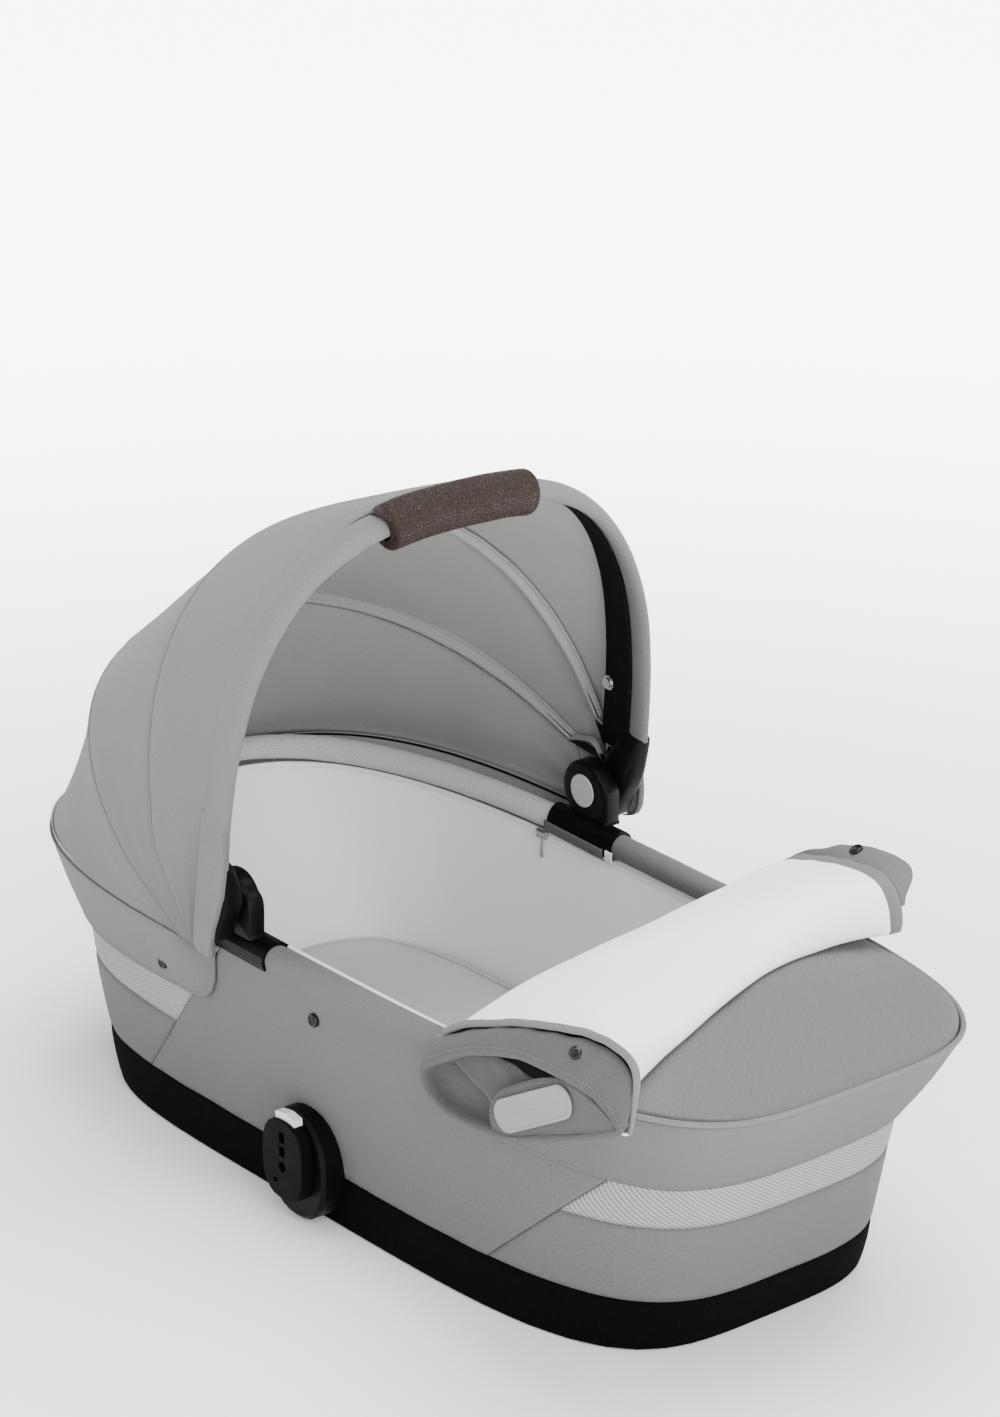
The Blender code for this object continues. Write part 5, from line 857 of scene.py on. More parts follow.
CHANNEL_WIDE = 0.76
CHANNEL_SECTION = ((12.5, -1.6), (9.5, -1.2), (6.0, -0.6), (4.6, 1.2), (3.4, 2.6), (1.6, 3.3), (0, 3.5),
                   (-1.6, 3.3), (-3.4, 2.4), (-4.6, 0.9), (-6.5, -0.6), (-9.0, -1.2))
for key, seam, body, inset, knee_y, tab_y in (("a", SEAM_A, "hood_front_rib", 2.5, 205.6, 197.3),
                                              ("b", SEAM_B, "hood_rear_rib", 1.9, 209.4, 200.6)):
    line, ahead = rib_path(seam, inset, knee_y, tab_y)
    along = unit(np.gradient(line, axis=0))
    inner = unit(np.cross(along, ahead))
    inner = inner * np.sign((inner * (PIVOT + (0, 0, 0.08) - line)).sum(1, keepdims=True))
    n = len(line)
    ends = clamp(np.minimum(np.arange(n), n - 1 - np.arange(n)) / 56)
    wide = mix(0.16, 1.0, ease(ends))
    lump = 0.25 * field(line, 0.03, 65)
    cols = []
    for off, depth in CHANNEL_SECTION:
        across = ahead * (off * CHANNEL_WIDE * wide * MM)[:, None]
        cols.append(line + across + inner * ((depth + lump) * (0.4 + 0.6 * wide) * MM)[:, None])
    p = np.stack(cols, 1)
    sheet_mesh("rib_channel_" + key, p, [LINING], 0.7 * MM, body=body, face=(n // 2, 6, inner[n // 2]),
               slot="inner_fabric")
    for off, depth in ((9.8, -0.9), (-7.4, -0.4)):
        seam_line = line + ahead * (off * CHANNEL_WIDE * wide * MM)[:, None] + inner * (depth * MM)
        stitches("channel_stitch_%s_%d" % (key, off > 0), seam_line[22:-22], body, pitch=4.0, length=2.8,
                 radius=0.3)

# Cords in the seams between the hood's panels, and over the skirt
for key, k, body, sunk, up in (("a", 1, "hood_front_rib", 1.5, (1, 0, 0)),
                               ("b", 2, "hood_rear_rib", 1.5, (1, 0, 0)), ("c", 3, "tub", 0.6, (0, 0, 1))):
    seam = catmull(LINES[k], ROWS)
    inwards = unit(PIVOT - seam) * sunk * MM
    tube("hood_cord_" + key, seam + inwards * (1, 1, k < 3) - (0, 0, (k == 3) * 0.3 * MM), 1.1 * MM, [HOOD],
         body, 8, up=up, slot="grey_fabric")

# Strip of cloth that closes the hood to the rim on the inside
STRIP_SECTION = ((1.5, 215), (2.6, 209), (3.4, 204), (8, 200.5), (14, 199.5), (20, 200.5))
strip = []
strip_start = seam_c_turn(-131)
strip_turn = np.linspace(strip_start, math.pi - strip_start, 160)
for inset, z in STRIP_SECTION:
    q = seam_c(strip_turn, -inset)
    q[:, 2] = z * MM
    strip.append(q)
p = np.stack(strip, 1)
sheet_mesh("seam_strip", p, [LINING], 0.8 * MM, body="tub", face=(80, 1, (1.0, 0, 0)), slot="inner_fabric")
seam_line = mix(strip[1], strip[2], 0.5) + unit(strip[3] - strip[2]) * 0.6 * MM
tube("seam_cord", seam_line, 1.0 * MM, [WEBBING], "tub", 8, slot="black_fabric")

# Hinge housings with a straight front and a foot on the saddle, and rounded arms up to the bow
HOUSING_SECTION = ((2.6, 170.6), (1.0, 171.2), (0.2, 172.6), (0, 174), (0, 185.2), (1.0, 186.1))
# Height, way ahead, half width, side and half thickness of each ring of an arm
ARM_SECTIONS = ((-25, 5, 3, 200, 4), (-24, 5, 10, 200, 9), (-19, 5, 14, 200, 11.5), (-8, 5, 17, 200.2, 12.6),
                (5, 8, 20, 200.6, 12.8), (16, 12, 19, 201.5, 12.8), (26, 14, 17, 203.5, 12),
                (36, 16, 14.5, 206, 10.5), (44, 17.5, 12.5, 208, 9), (48, 18.5, 11, 209, 7.5),
                (49, 18.5, 4, 209, 3))
ARM_POWER = 3.2
HUB_R = 25.5
hub = [(PIVOT_X + HUB_R * math.cos(math.radians(d)), PIVOT_Z + HUB_R * math.sin(math.radians(d)))
       for d in range(32, 246, 14)]
outline = catmull([(-64, 219), (-62.5, 224), (-62.5, 248)] + hub + [(-96, 219)], 110, closed=True)
hub_middle = np.array([-90, 241])
inwards = unit(hub_middle - outline)
for name, side in SIDES.items():
    rings = [hub_middle + (outline - hub_middle) * g for g in (0.03, 0.5, 0.8)]
    cols = [xyz(r[:, 0], 170.6, r[:, 1]) for r in rings]
    for inset, y in HOUSING_SECTION:
        r = outline + inwards * inset
        cols.append(xyz(r[:, 0], y, r[:, 1]))
    cols.append(xyz(rings[0][:, 0], 186.1, rings[0][:, 1]))
    p = np.stack(cols, 1) * MM * (1, side, 1)
    sheet_mesh("housing_form_" + name, p, [BLACK], closed=True, body="tub", face=(40, 6, (-1.0, 0, 1.0)),
               node="hinge_housing_" + name, slot="black_plastic")
    turn = np.linspace(0, math.tau, 41)[:-1]
    cols = []
    for h, a, wide, y, thick in ARM_SECTIONS:
        c, q = np.cos(turn), np.sin(turn)
        r = (np.abs(c) ** ARM_POWER + np.abs(q) ** ARM_POWER) ** (-1 / ARM_POWER)
        ring_p = PIVOT + (UP * h + AHEAD * (a + wide * (r * c)[:, None])) * MM
        ring_p[:, 1] = side * (y + thick * r * q) * MM
        cols.append(ring_p)
    p = np.stack(cols, 1)
    sheet_mesh("arm_form_" + name, p, [BLACK], closed=True, body="bow", face=(0, 4, AHEAD),
               node="bow_arm_" + name, slot="black_plastic")

# Zip tape that lies on the inner side of each saddle, with its white end
TAPE_SECTION = ((157.2, 4.2), (156.6, 2.5), (156.6, -2.5), (158.5, -6), (163, -9))
TAPE_END_SECTION = ((157.0, 5.0), (156.2, 4), (156.2, -4), (157.4, -6.5))
for name, side in SIDES.items():
    x = np.linspace(-124, -50, 60)
    z = np.interp(x, [-124, -50], [205.5, 203.5])
    cols = [xyz(x, y, z + dz) for y, dz in TAPE_SECTION]
    p = np.stack(cols, 1) * MM * (1, side, 1)
    sheet_mesh("zip_end_tape_" + name, p, [ZIP_GREY], 0.8 * MM, body="tub", face=(30, 1, (0, -side, 0)),
               slot="inner_fabric")
    cols = [xyz(x[:12] + 75, y, z[-12:] + dz) for y, dz in TAPE_END_SECTION]
    p = np.stack(cols, 1) * MM * (0.62, side, 1) + (-0.0155, 0, 0)
    sheet_mesh("zip_end_" + name, p, [WHITE_TAPE], 0.9 * MM, body="tub", face=(5, 1, (0, -side, 0)),
               slot="white_fabric")

# Hood skirt
skirt_start = seam_c_turn(-127)
turn = np.linspace(skirt_start, math.pi - skirt_start, 221)
top = seam_c(turn, 0, 208.3)
along = (EDGE_X * MM - top[:, 0]) / (EDGE_REACH * MM)
hem_z = mix(146, 130, along) * MM
end = clamp(1 - (-0.127 - top[:, 0]) / 0.046)
hem_z = mix(hem_z, 0.206, 1 - np.sqrt(clamp(1 - end ** 2)))
ang = np.arctan2(top[:, 1] / 0.184, top[:, 0] / 0.434)
ang = np.where(ang < 0, ang + math.tau, ang)
hem = wall(ang, hem_z, -3.2 * MM)
s = np.linspace(0, 1, 26)
p = mix(top[:, None], hem[:, None], s[None, :, None])
out = unit((top - np.array([-0.1, 0, 0])) * (1, 1, 0))
bulge = np.sin(math.pi * s) ** 0.8 * 3.0 * MM
drop = (top[:, 2] - hem[:, 2])[:, None] * s[None]
lift = bulge[None] + field(p, 0.09, 51) * 0.8 * MM * np.sin(math.pi * s)[None]
above_hem = (top[:, 2] - hem[:, 2])[:, None] - drop
lift = lift - 1.3 * MM * (np.exp(-drop / (2.5 * MM)) + 0.6 * np.exp(-above_hem / (2.0 * MM)))
p = p + out[:, None] * lift[..., None]
skirt = sheet_mesh("hood_skirt_cloth", p, [HOOD, LINING], 1.8 * MM, body="tub", face=(110, 12, out[110]),
                   node="hood_skirt", slot="grey_fabric")
panel_of_cloth(p)
stitches("skirt_stitch", p[:, -3] + out * 0.3 * MM, "tub")

# Bow: lip, grip, straps
BOW = (TILT, 22, 29.5, 211.1, 269.5, 2.78)
t = np.concatenate([np.linspace(0.0, 0.5, 60), np.linspace(0.51, math.pi - 0.51, 120),
                    np.linspace(math.pi - 0.5, math.pi, 60)])
line = arch(t, *BOW)
height = (line - PIVOT) @ UP
line = line[height > 46.6 * MM]
foot = line[0] - UP * ((line[0] - PIVOT) @ UP - 46.4 * MM)
line = np.concatenate([[foot], line, [foot * (1, -1, 1)]])
section = np.linspace(0, math.tau, 33)
along = unit(np.gradient(line, axis=0))
away = unit(np.cross(along, AHEAD))
away = away * np.sign((away * (line - PIVOT)).sum(1, keepdims=True))
rear_share = (1 - np.cos(section)) / 2
rise = 8.8 * np.sin(section) * mix(1, 0.55, rear_share) + 3.2 * rear_share
reach = -4.5 + 13.2 * np.cos(section)
far = ease((line[:, 1] - 0.10) / 0.09)[:, None]
rise = rise[None] * (1 - 0.28 * far) - 2.6 * far
reach = np.broadcast_to(reach[None], rise.shape)
p = line[:, None] + AHEAD * (reach * MM)[..., None] + away[:, None] * (rise * MM)[..., None]
p = p + away[:, None] * (field(p, 0.08, 44) * 0.25 * MM)[..., None]
sheet_mesh("bow_cloth", p, [HOOD], 0.0, body="bow", face=(len(p) // 2, 8, away[len(p) // 2]),
           node="bow_sleeve", slot="grey_fabric")
core = line + away * (mix(1.1, -1.4, far) * MM) - AHEAD * 3 * MM
tube("bow_core", core[::2], mix(5.2, 3.2, far[::2, 0]) * MM, [ALUMINIUM], "bow", 14, up=AHEAD, cap=0.3,
     node="bow_tube", slot="aluminium")

# Hood cloth that runs on over the outside of each bow arm
for name, side in SIDES.items():
    if side < 0:
        z = np.linspace(211, 334, 34)
        front = np.interp(z, [211, 222, 242, 267, 295, 316, 334], [-74.5, -72.5, -64, -54, -50, -53, -60])
        out_y = np.interp(z, [211, 235, 280, 304, 320, 334],
                          [-218.5, -222.0, -222.2, -221.2, -218.6, -213.5])
        rear = np.interp(z, [208, 290, 345], [-103, -86, -74])
        back_y = np.interp(z, [211, 290, 345], [-211.5, -217.0, -218.0])
    else:
        z = np.linspace(211, 302, 34)
        front = np.interp(z, [211, 213, 217, 224, 242, 267, 302], [-90, -82, -76, -73, -74, -76, -78])
        out_y = np.interp(z, [211, 235, 290, 302], [-218.5, -221.4, -221.6, -221.0])
        rear = np.interp(z, [208, 302], [-103, -96])
        back_y = np.interp(z, [211, 302], [-211.5, -216.0])
    cols = []
    for f in np.linspace(0, 1, 10):
        cols.append(xyz(mix(rear, front, f), mix(back_y, out_y, 1 - (1 - f) ** 2), z))
    for turn in (0.35, 0.8, 1.2, 1.6):
        cols.append(xyz(front + 2.6 * math.sin(turn), out_y + 2.6 * (1 - math.cos(turn)), z))
    cols.append(xyz(front + 1.6, out_y + 6.5, z))
    p = np.stack(cols, 1) * MM * (1, -side, 1)
    p[..., 1] += side * 0.3 * MM * field(p, 0.03, 46)
    sheet_mesh("hood_corner_" + name, p, [HOOD, LINING], 1.1 * MM, body="bow", face=(17, 5, (0, side, 0)),
               slot="grey_fabric")

top_line = arch(np.linspace(1.2, math.pi - 1.2, 400), *BOW)
keep = top_line[np.abs(top_line[:, 1]) < 0.070]
s = np.linspace(-1, 1, len(keep))
GRIP_END_R, GRIP_CROWN = 14.2, 4.2
r = (GRIP_END_R + GRIP_CROWN * np.sqrt(clamp(1 - (1 - clamp((1 - np.abs(s)) / 0.06)) ** 2))) * MM
turn = np.linspace(0, math.tau, 49)
along = unit(np.gradient(keep, axis=0))
nrm = unit(np.cross(along, AHEAD))
nrm = nrm * np.sign(nrm[len(nrm) // 2, 2])
around = AHEAD * np.cos(turn)[None, :, None] + nrm[:, None] * np.sin(turn)[None, :, None]
p = keep[:, None] + around * r[:, None, None]
lump = field(p * (1, 0.5, 1), 0.035, 71) * 0.35 * MM
axis = keep[:, None]
p = p + unit(p - axis) * lump[..., None]
caps = [keep[:1, None] + (p[:1] - keep[:1, None]) * g for g in (0.66, 0.8, 0.92)]
tail = [keep[-1:, None] + (p[-1:] - keep[-1:, None]) * g for g in (0.92, 0.8, 0.66)]
p = np.concatenate(caps + [p] + tail)
grip = sheet_mesh("leather_grip", p, [LEATHER], body="bow", face=(len(p) // 2, 12, nrm[len(nrm) // 2]),
                  node="carry_grip", slot="grip_leather")

for name, side in SIDES.items():
    s = np.linspace(0, 1, 90)
    t = s * 0.83 * math.pi / 2
    t = t if side < 0 else math.pi - t
    rear = mix(-19, 7, s ** 2)
    cols = []
    for f in np.linspace(0, 1, 9):
        off = mix(12, rear, f)
        p = arch(t, TILT, 0, 29.5, 204.8, 263.2, 2.78, -1.0) + AHEAD * off[:, None] * MM
        cols.append(p)
    p = np.stack(cols, 1)
    inward = unit((PIVOT + np.array([0.03, 0, 0.1]) - p[45, 4]))
    sheet_mesh("bow_web_" + name, p, [WEBBING], -1.9 * MM, body="bow", face=(45, 4, -inward),
               node="bow_strap_" + name, slot="black_fabric")


# Foot cover
COVER_BACK, COVER_FRONT, COVER_HALF, COVER_POWER = 0.168, 0.420, 0.1845, 4.2
COVER_LONG = 0.252


def cover_outline(a, grow, z):
    x, y = oval(a, COVER_POWER, COVER_POWER)
    return xyz((COVER_FRONT + grow) * x, (COVER_HALF + grow) * y * (1 - TAPER * x), z)


def cover_height(x, y):
    across = clamp(np.abs(y) / COVER_HALF)
    along = clamp((x - COVER_BACK) / COVER_LONG)
    return (223.7 + 19 * (1 - across ** 2.4) * (1 - along ** 3.2)) * MM


def cover_turn(x):
    low, high = 0.0, math.pi / 2
    for _ in range(40):
        mid = (low + high) / 2
        beyond = oval(np.array(mid), COVER_POWER, COVER_POWER)[0] * COVER_FRONT > x
        low, high = (mid, high) if beyond else (low, mid)
    return low


end = cover_turn(COVER_BACK)
fine = np.linspace(-end, end, 1200)
total = run(cover_outline(fine, 0, 0))
ca = np.interp(np.linspace(0, total[-1], 241), total, fine)
rim_loop = cover_outline(ca, 0, 0)
back = np.linspace(rim_loop[-1], rim_loop[0], 92)[1:-1]
loop = np.concatenate([rim_loop, back])
middle = np.array([mix(COVER_BACK, COVER_FRONT, 0.45), 0, 0])
TOP_RINGS = (0.0004, 0.02, 0.1, 0.2, 0.32, 0.44, 0.56, 0.67, 0.76, 0.84, 0.90, 0.94, 0.965, 0.98,
             0.99, 0.996)
rings = []
for r in TOP_RINGS:
    q = middle + (loop - middle) * r
    q[:, 2] = cover_height(q[:, 0], q[:, 1]) + 0.5 * MM * field(q, 0.09, 80) * (1 - r)
    d = (1 - r) * 0.18
    q[:, 2] += (-2.2 * MM * math.exp(-d / 0.0012) + 1.2 * MM * math.exp(-((d - 0.012) / 0.010) ** 2))
    rings.append(q)
for r, z in ((0.995, 220.8), (0.985, 218.6), (0.97, 218.4), (0.6, 218.4), (0.0004, 218.4)):
    q = middle + (loop - middle) * r
    q[:, 2] = z * MM
    rings.append(q)
p = np.stack(rings, 1)
cover = sheet_mesh("cover_pad", p, [COVER, LINER], closed=True, body="tub", flip=True, node="cover_top",
                   slot="grey_fabric")
index = np.zeros(len(cover.data.polygons), int)
cells = p.shape[1] - 1
index[(np.arange(len(index)) % cells) > len(TOP_RINGS) + 1] = 1
cover.data.polygons.foreach_set("material_index", index)
corner = np.empty(len(cover.data.loops), np.int32)
cover.data.loops.foreach_get("vertex_index", corner)
place = np.array([v.co for v in cover.data.vertices])[corner, :2]
cover.data.uv_layers[0].data.foreach_set("uv", place.astype(np.float32).ravel())

line = cover_outline(ca, 2.5 * MM, 223.7 * MM)
tube("cover_cord", line, 2.2 * MM, [PIPING], "tub", 10, node="cover_piping", slot="grey_fabric")

top = cover_outline(ca, 2.8 * MM, 221.2 * MM)
along = clamp((top[:, 0] - COVER_BACK) / COVER_LONG)
hem_z = mix(157, 147, along ** 2)
hem_z = mix(hem_z, 188, clamp(1 - (top[:, 0] - COVER_BACK) / 0.060) ** 1.6) * MM
s = np.linspace(0, 1, 30)
zz = mix(top[:, 2:3], hem_z[:, None], s[None])
aa = np.broadcast_to(ca[:, None], zz.shape)
hem = wall(ca, hem_z, -3.5 * MM)
slope = mix(top[:, None], hem[:, None], s[None, :, None])
hug = wall(aa, np.minimum(zz, RIM_MID_Z), -3.5 * MM)
o = outward(aa, np.full(zz.shape, RIM_MID_Z))
push = np.maximum(((hug - slope) * (1, 1, 0) * o).sum(-1), 0)
p = slope + o * push[..., None]
bulge = np.sin(math.pi * s) * 2.0 * MM
drop = (top[:, 2:3] - zz)
rise = zz - hem_z[:, None]
lift = bulge[None] + field(p, 0.08, 90) * 0.6 * MM
lift = lift - 1.0 * MM * np.exp(-drop / (2 * MM)) - 1.2 * MM * np.exp(-rise / (2 * MM))
p = p + o * lift[..., None]
skirt = sheet_mesh("cover_skirt_cloth", p, [COVER], 2.2 * MM, body="tub", face=(120, 12, o[120, 12]),
                   node="cover_skirt", slot="grey_fabric")
panel_of_cloth(p)
stitches("cover_stitch", p[:, -3] + o[:, 0] * 0.3 * MM, "tub")


# Folded flap, its cuff and tongue
def flap_ends(y):
    """Rear and front edge of the folded flap, and how far it stands up there."""
    rear = catmull(np.array([(-0.187, 188), (-0.125, 178), (-0.0623, 171), (0, 162), (0.0623, 152),
                             (0.125, 143), (0.187, 136)]), 400)
    front = catmull(np.array([(-0.187, 391), (-0.166, 361), (-0.145, 343), (-0.104, 325), (-0.0623, 310),
                              (0.0, 286), (0.0623, 266), (0.125, 258), (0.187, 269.5)]), 400)
    rise = np.interp(y, [-0.187, -0.06, 0.02, 0.09, 0.187], [34, 27, 25, 28, 38])
    return np.interp(y, rear[:, 0], rear[:, 1]) * MM, np.interp(y, front[:, 0], front[:, 1]) * MM, rise * MM


def flap_floor(x, y):
    return np.maximum(cover_height(x, y), 225.9 * MM) + 0.5 * MM


ys = np.linspace(-0.186, 0.186, 149)
rear, front, rise = flap_ends(ys)
open_end = clamp(1 - (ys + 0.187) / 0.135) ** 1.6
t = np.linspace(0, math.pi, 61)
c, s_ = np.cos(t)[:, None], clamp(np.sin(t))[:, None]
# Profiles of its open end and its far end, with their rear edge, length and floor
MOUTH_REAR, MOUTH_LONG, MOUTH_FLOOR = 188, 203, 226.4
FAR_REAR, FAR_LONG, FAR_FLOOR = 136, 133.5, 236.4
MOUTH = [(391, 229), (393.5, 250), (397, 267), (397, 281), (391, 289), (376, 295), (350, 294.5),
         (322, 288.5), (277, 276), (232, 260), (193, 243), (180, 231), (188, 226.5)]
mouth = catmull(MOUTH, 61)
FAR_END = [(266, 236.4), (269.5, 241), (269, 253), (264, 266), (253, 276.5), (233, 280.5), (204, 276.5),
           (173, 268.5), (147, 261), (139, 251), (136, 241), (140, 237)]
far_end = catmull(FAR_END, 61)
far_blend = ease((ys - 0.015) / 0.171)
raised = 10 * MM * ease((ys - 0.10) / 0.084)
share = mix(0.5 + 0.5 * c, (mouth[:, :1] - MOUTH_REAR) / MOUTH_LONG, open_end)
share = mix(share, (far_end[:, :1] - FAR_REAR) / FAR_LONG, far_blend)
x = rear + (front - rear) * share
y = np.broadcast_to(ys, x.shape)
high = mix(rise * s_ ** 0.8, (mouth[:, 1:] - MOUTH_FLOOR) * MM, open_end)
high = mix(high, (far_end[:, 1:] - FAR_FLOOR) * MM, far_blend)
z = flap_floor(x, y) + raised + high
top = xyz(x, y, z)
b = np.linspace(0, 1, 31)[1:-1, None]
x = mix(rear, front, b)
y = np.broadcast_to(ys, x.shape)
bottom = xyz(x, y, flap_floor(x, y) + raised)
p = np.concatenate([top, bottom])
for _ in range(4):
    soft = (np.roll(p, 1, 0) + np.roll(p, -1, 0) + 2 * p) / 4
    soft[..., 2] = np.maximum(soft[..., 2], flap_floor(soft[..., 0], soft[..., 1]))
    p = soft
n = normals(p, True)
flipped = (n[30, 70] @ np.array([0, 0, 1])) < 0
n = -n if flipped else n
up = clamp(n[..., 2:3])
fold = 0.8 * field(p * (1, 0.35, 1), 0.09, 95) + 0.35 * field(p, 0.035, 96) * np.abs(ys[None] / 0.186) ** 3
p = p + n * (fold * MM)[..., None] * up
far_edge = clamp((ys - 0.176) / 0.001)[None]
p = p + n * ((0.7 * far_edge - 1.0 * bell(ys[None] - 0.176, 0.0009)) * MM)[..., None] * (up > 0.02)
flap = sheet_mesh("soft_flap", p, [FLAP, SIDE, PIPING], 3.0 * MM, closed=True, body="flap", flip=flipped,
                  node="cover_flap", slot="white_fabric")
index = np.zeros(len(flap.data.polygons), int)
flap.data.polygons.foreach_get("material_index", index)
index[index == 2] = 1
columns = len(ys) - 1
outer = len(p) * columns
row, column = np.divmod(np.arange(outer), columns)
index[:outer][column >= columns - 4] = 2
index[:outer][(column < 6) & ((row < 8) | (row > len(p) - 5))] = 2
flap.data.polygons.foreach_set("material_index", index)
edge = p[1:60, 0] - n[1:60, 0] * 0.6 * MM + (0, -1.0 * MM, 0)
tube("flap_binding", edge, np.interp(np.arange(59), [0, 8, 16], [1.9, 2.4, 2.9]) * MM, [PIPING], "flap", 12,
     up=(0, 1, 0), slot="grey_fabric")

# Cuff: a turned band whose cloth folds back into the open end
FRONT_LOOP = [(171, 202), (177, 212), (194, 222.5), (222, 238.5), (252, 250), (283, 258.5), (311, 261),
              (335, 261.5), (352, 261), (369, 258), (386, 251), (396, 242), (381, 232), (342, 214),
              (283, 190), (252, 183), (222, 180), (198, 181), (179, 189)]
BACK_LOOP = [(170, 210), (175, 225), (203, 243), (243, 260.5), (279, 273.5), (323, 284), (351, 289),
             (373, 289), (388, 282), (393, 270), (391, 250), (378, 233), (345, 217), (284, 190), (252, 183),
             (222, 181), (196, 184), (175, 196)]
front_ring = catmull(FRONT_LOOP, 220, closed=True)
back_ring = catmull(BACK_LOOP, 220, closed=True)
ring_way = unit(np.roll(front_ring, -1, 0) - np.roll(front_ring, 1, 0))
ring_in = np.stack([ring_way[:, 1], -ring_way[:, 0]], 1)
centre = front_ring.mean(0)
cols = []


def ring_column(y, f, inward):
    q = mix(back_ring, front_ring, f) + ring_in * inward
    return xyz(q[:, 0], y, q[:, 1])


# Side, share of the way from the back loop to the front one, and way inwards of each ring of the cuff
CUFF_SECTION = ((-186.6, 0, 1.5), (-188.5, 0.04, 0), (-192, 0.22, -1.8), (-196, 0.46, -2.8),
                (-199.5, 0.73, -2.4), (-202, 0.92, -0.9), (-203.4, 1.0, 0.6), (-203.6, 1.0, 2.2),
                (-202.6, 1.0, 3.8), (-200, 1.0, 4.8), (-196, 0.98, 5.4), (-191.5, 0.9, 5.8))
for y, f, inward in CUFF_SECTION:
    cols.append(ring_column(y, f, inward))
deep = cols[-1].copy()
for y, shrink in ((-187, 0.14), (-180, 0.30), (-170, 0.48), (-156, 0.68), (-142, 0.9)):
    q = deep.copy()
    q[:, 0] = mix(q[:, 0], centre[0] + 10, shrink)
    q[:, 1] = y
    q[:, 2] = mix(q[:, 2], 248, shrink)
    if y > -186:
        q[:, 2] = np.maximum(q[:, 2], flap_floor(q[:, 0] * MM, q[:, 1] * MM) / MM + 6)
    cols.append(q)
p = np.stack(cols, 1) * MM
n = normals(p, True)
flipped = (n[30, 3] @ np.array([0, -0.3, 1.0])) < 0
n = -n if flipped else n
inside = clamp((np.arange(p.shape[1]) - 9) / 3)[None]
under = np.linalg.norm(p - np.array([0.342, -0.196, 0.277]), axis=2)
p = p + n * (3.2 * MM * bell(under, 0.013))[..., None]
crumple = field(p, 0.035, 97) * 0.6 + inside * 1.6 * field(p * (1, 0.4, 1.3), 0.05, 98)
p = p + n * (crumple * MM)[..., None]
# The cuff takes the darker copy of the side cloth: painted shade.
cuff = sheet_mesh("soft_cuff", p, [SHADED_CUFF_CLOTH, SHADED_CUFF_CLOTH], 1.2 * MM, closed=True, body="flap", flip=flipped,
                  node="flap_cuff", slot="grey_fabric")
panel_of_cloth(p, closed=True)
whole_way = np.append(np.arange(len(p)), 0)
stitches("cuff_stitch", p[whole_way, 5] + n[whole_way, 5] * 0.25 * MM, "flap", pitch=3.4, length=2.4,
         radius=0.3)

# Folds of cloth inside the mouth, and the tab under the pill tag
u = np.linspace(0, 1, 40)[:, None]
v = np.linspace(0, 1, 16)[None]
x = mix(mix(196, 300, u), mix(232, 372, u), v)
z = mix(mix(222, 196, u), mix(238, 232, u), v) - 7 * np.sin(math.pi * u) * (1 - v)
y = -194 + 9 * v + 3.5 * np.sin(math.pi * v * 1.5) * np.sin(math.pi * u)
p = xyz(x, y, z) * MM
p[..., 1] += 1.2 * MM * field(p, 0.03, 99)
# The folds and the tab also take the darker copy of the side cloth: painted shade.
sheet_mesh("cuff_fold", p, [SHADED_CUFF_CLOTH], 1.5 * MM, body="flap", face=(20, 8, (0, -1.0, 0)), slot="grey_fabric")
low = catmull([(252, 191), (263, 184), (281, 188), (306, 200), (334, 214), (364, 227), (392, 239)], 60)
high = catmull([(251, 202), (258, 218), (280, 234), (314, 252), (342, 258.5), (368, 253), (390, 244.5)], 60)
v = np.linspace(0, 1, 14)[None, :, None]
q = mix(low[:, None], high[:, None], v)
bulge = np.sin(math.pi * np.linspace(0, 1, 60))[:, None] ** 0.3 * np.sin(math.pi * v[..., 0]) ** 0.5
p = xyz(q[..., 0], -201.4 - 1.4 * bulge, q[..., 1]) * MM
p[..., 1] += 0.35 * MM * field(p, 0.03, 100)
sheet_mesh("tag_tab", p, [SHADED_CUFF_CLOTH], 1.6 * MM, body="flap", face=(30, 7, (0, -1.0, 0)), slot="grey_fabric")
edge = np.concatenate([p[2:-2, 1], p[-3, 1:-1], p[2:-2, -2][::-1], p[2, 1:-1][::-1]])
stitches("tab_stitch", edge - (0, 0.5 * MM, 0), "flap", pitch=3.4, length=2.3, radius=0.28)

# Pill tag with a raised rim
lean = math.radians(29.7)
way, across = np.array([math.cos(lean), 0, math.sin(lean)]), np.array([-math.sin(lean), 0, math.cos(lean)])
turn = np.linspace(0, math.tau, 65)[:-1]
middle = np.array([303.5, 0, 224.2]) * MM + way * np.clip(np.cos(turn) * 200, -34, 34)[:, None] * MM
ends = (way * np.cos(turn)[:, None] + across * np.sin(turn)[:, None])
TAG_SECTION = ((11.8, -203.2), (12.8, -203.7), (13.0, -205.0), (12.5, -205.9), (11.6, -206.2),
               (10.7, -206.0), (10.2, -205.3), (9, -205.2), (4, -205.5), (0.05, -205.6))
rings = [middle + ends * r * MM + (0, y * MM, 0) for r, y in TAG_SECTION]
p = np.stack(rings, 1)
sheet_mesh("pill_tag", p, [PALE], closed=True, body="flap", face=(10, 8, (0, -1.0, 0)), node="flap_tag",
           slot="white_plastic")

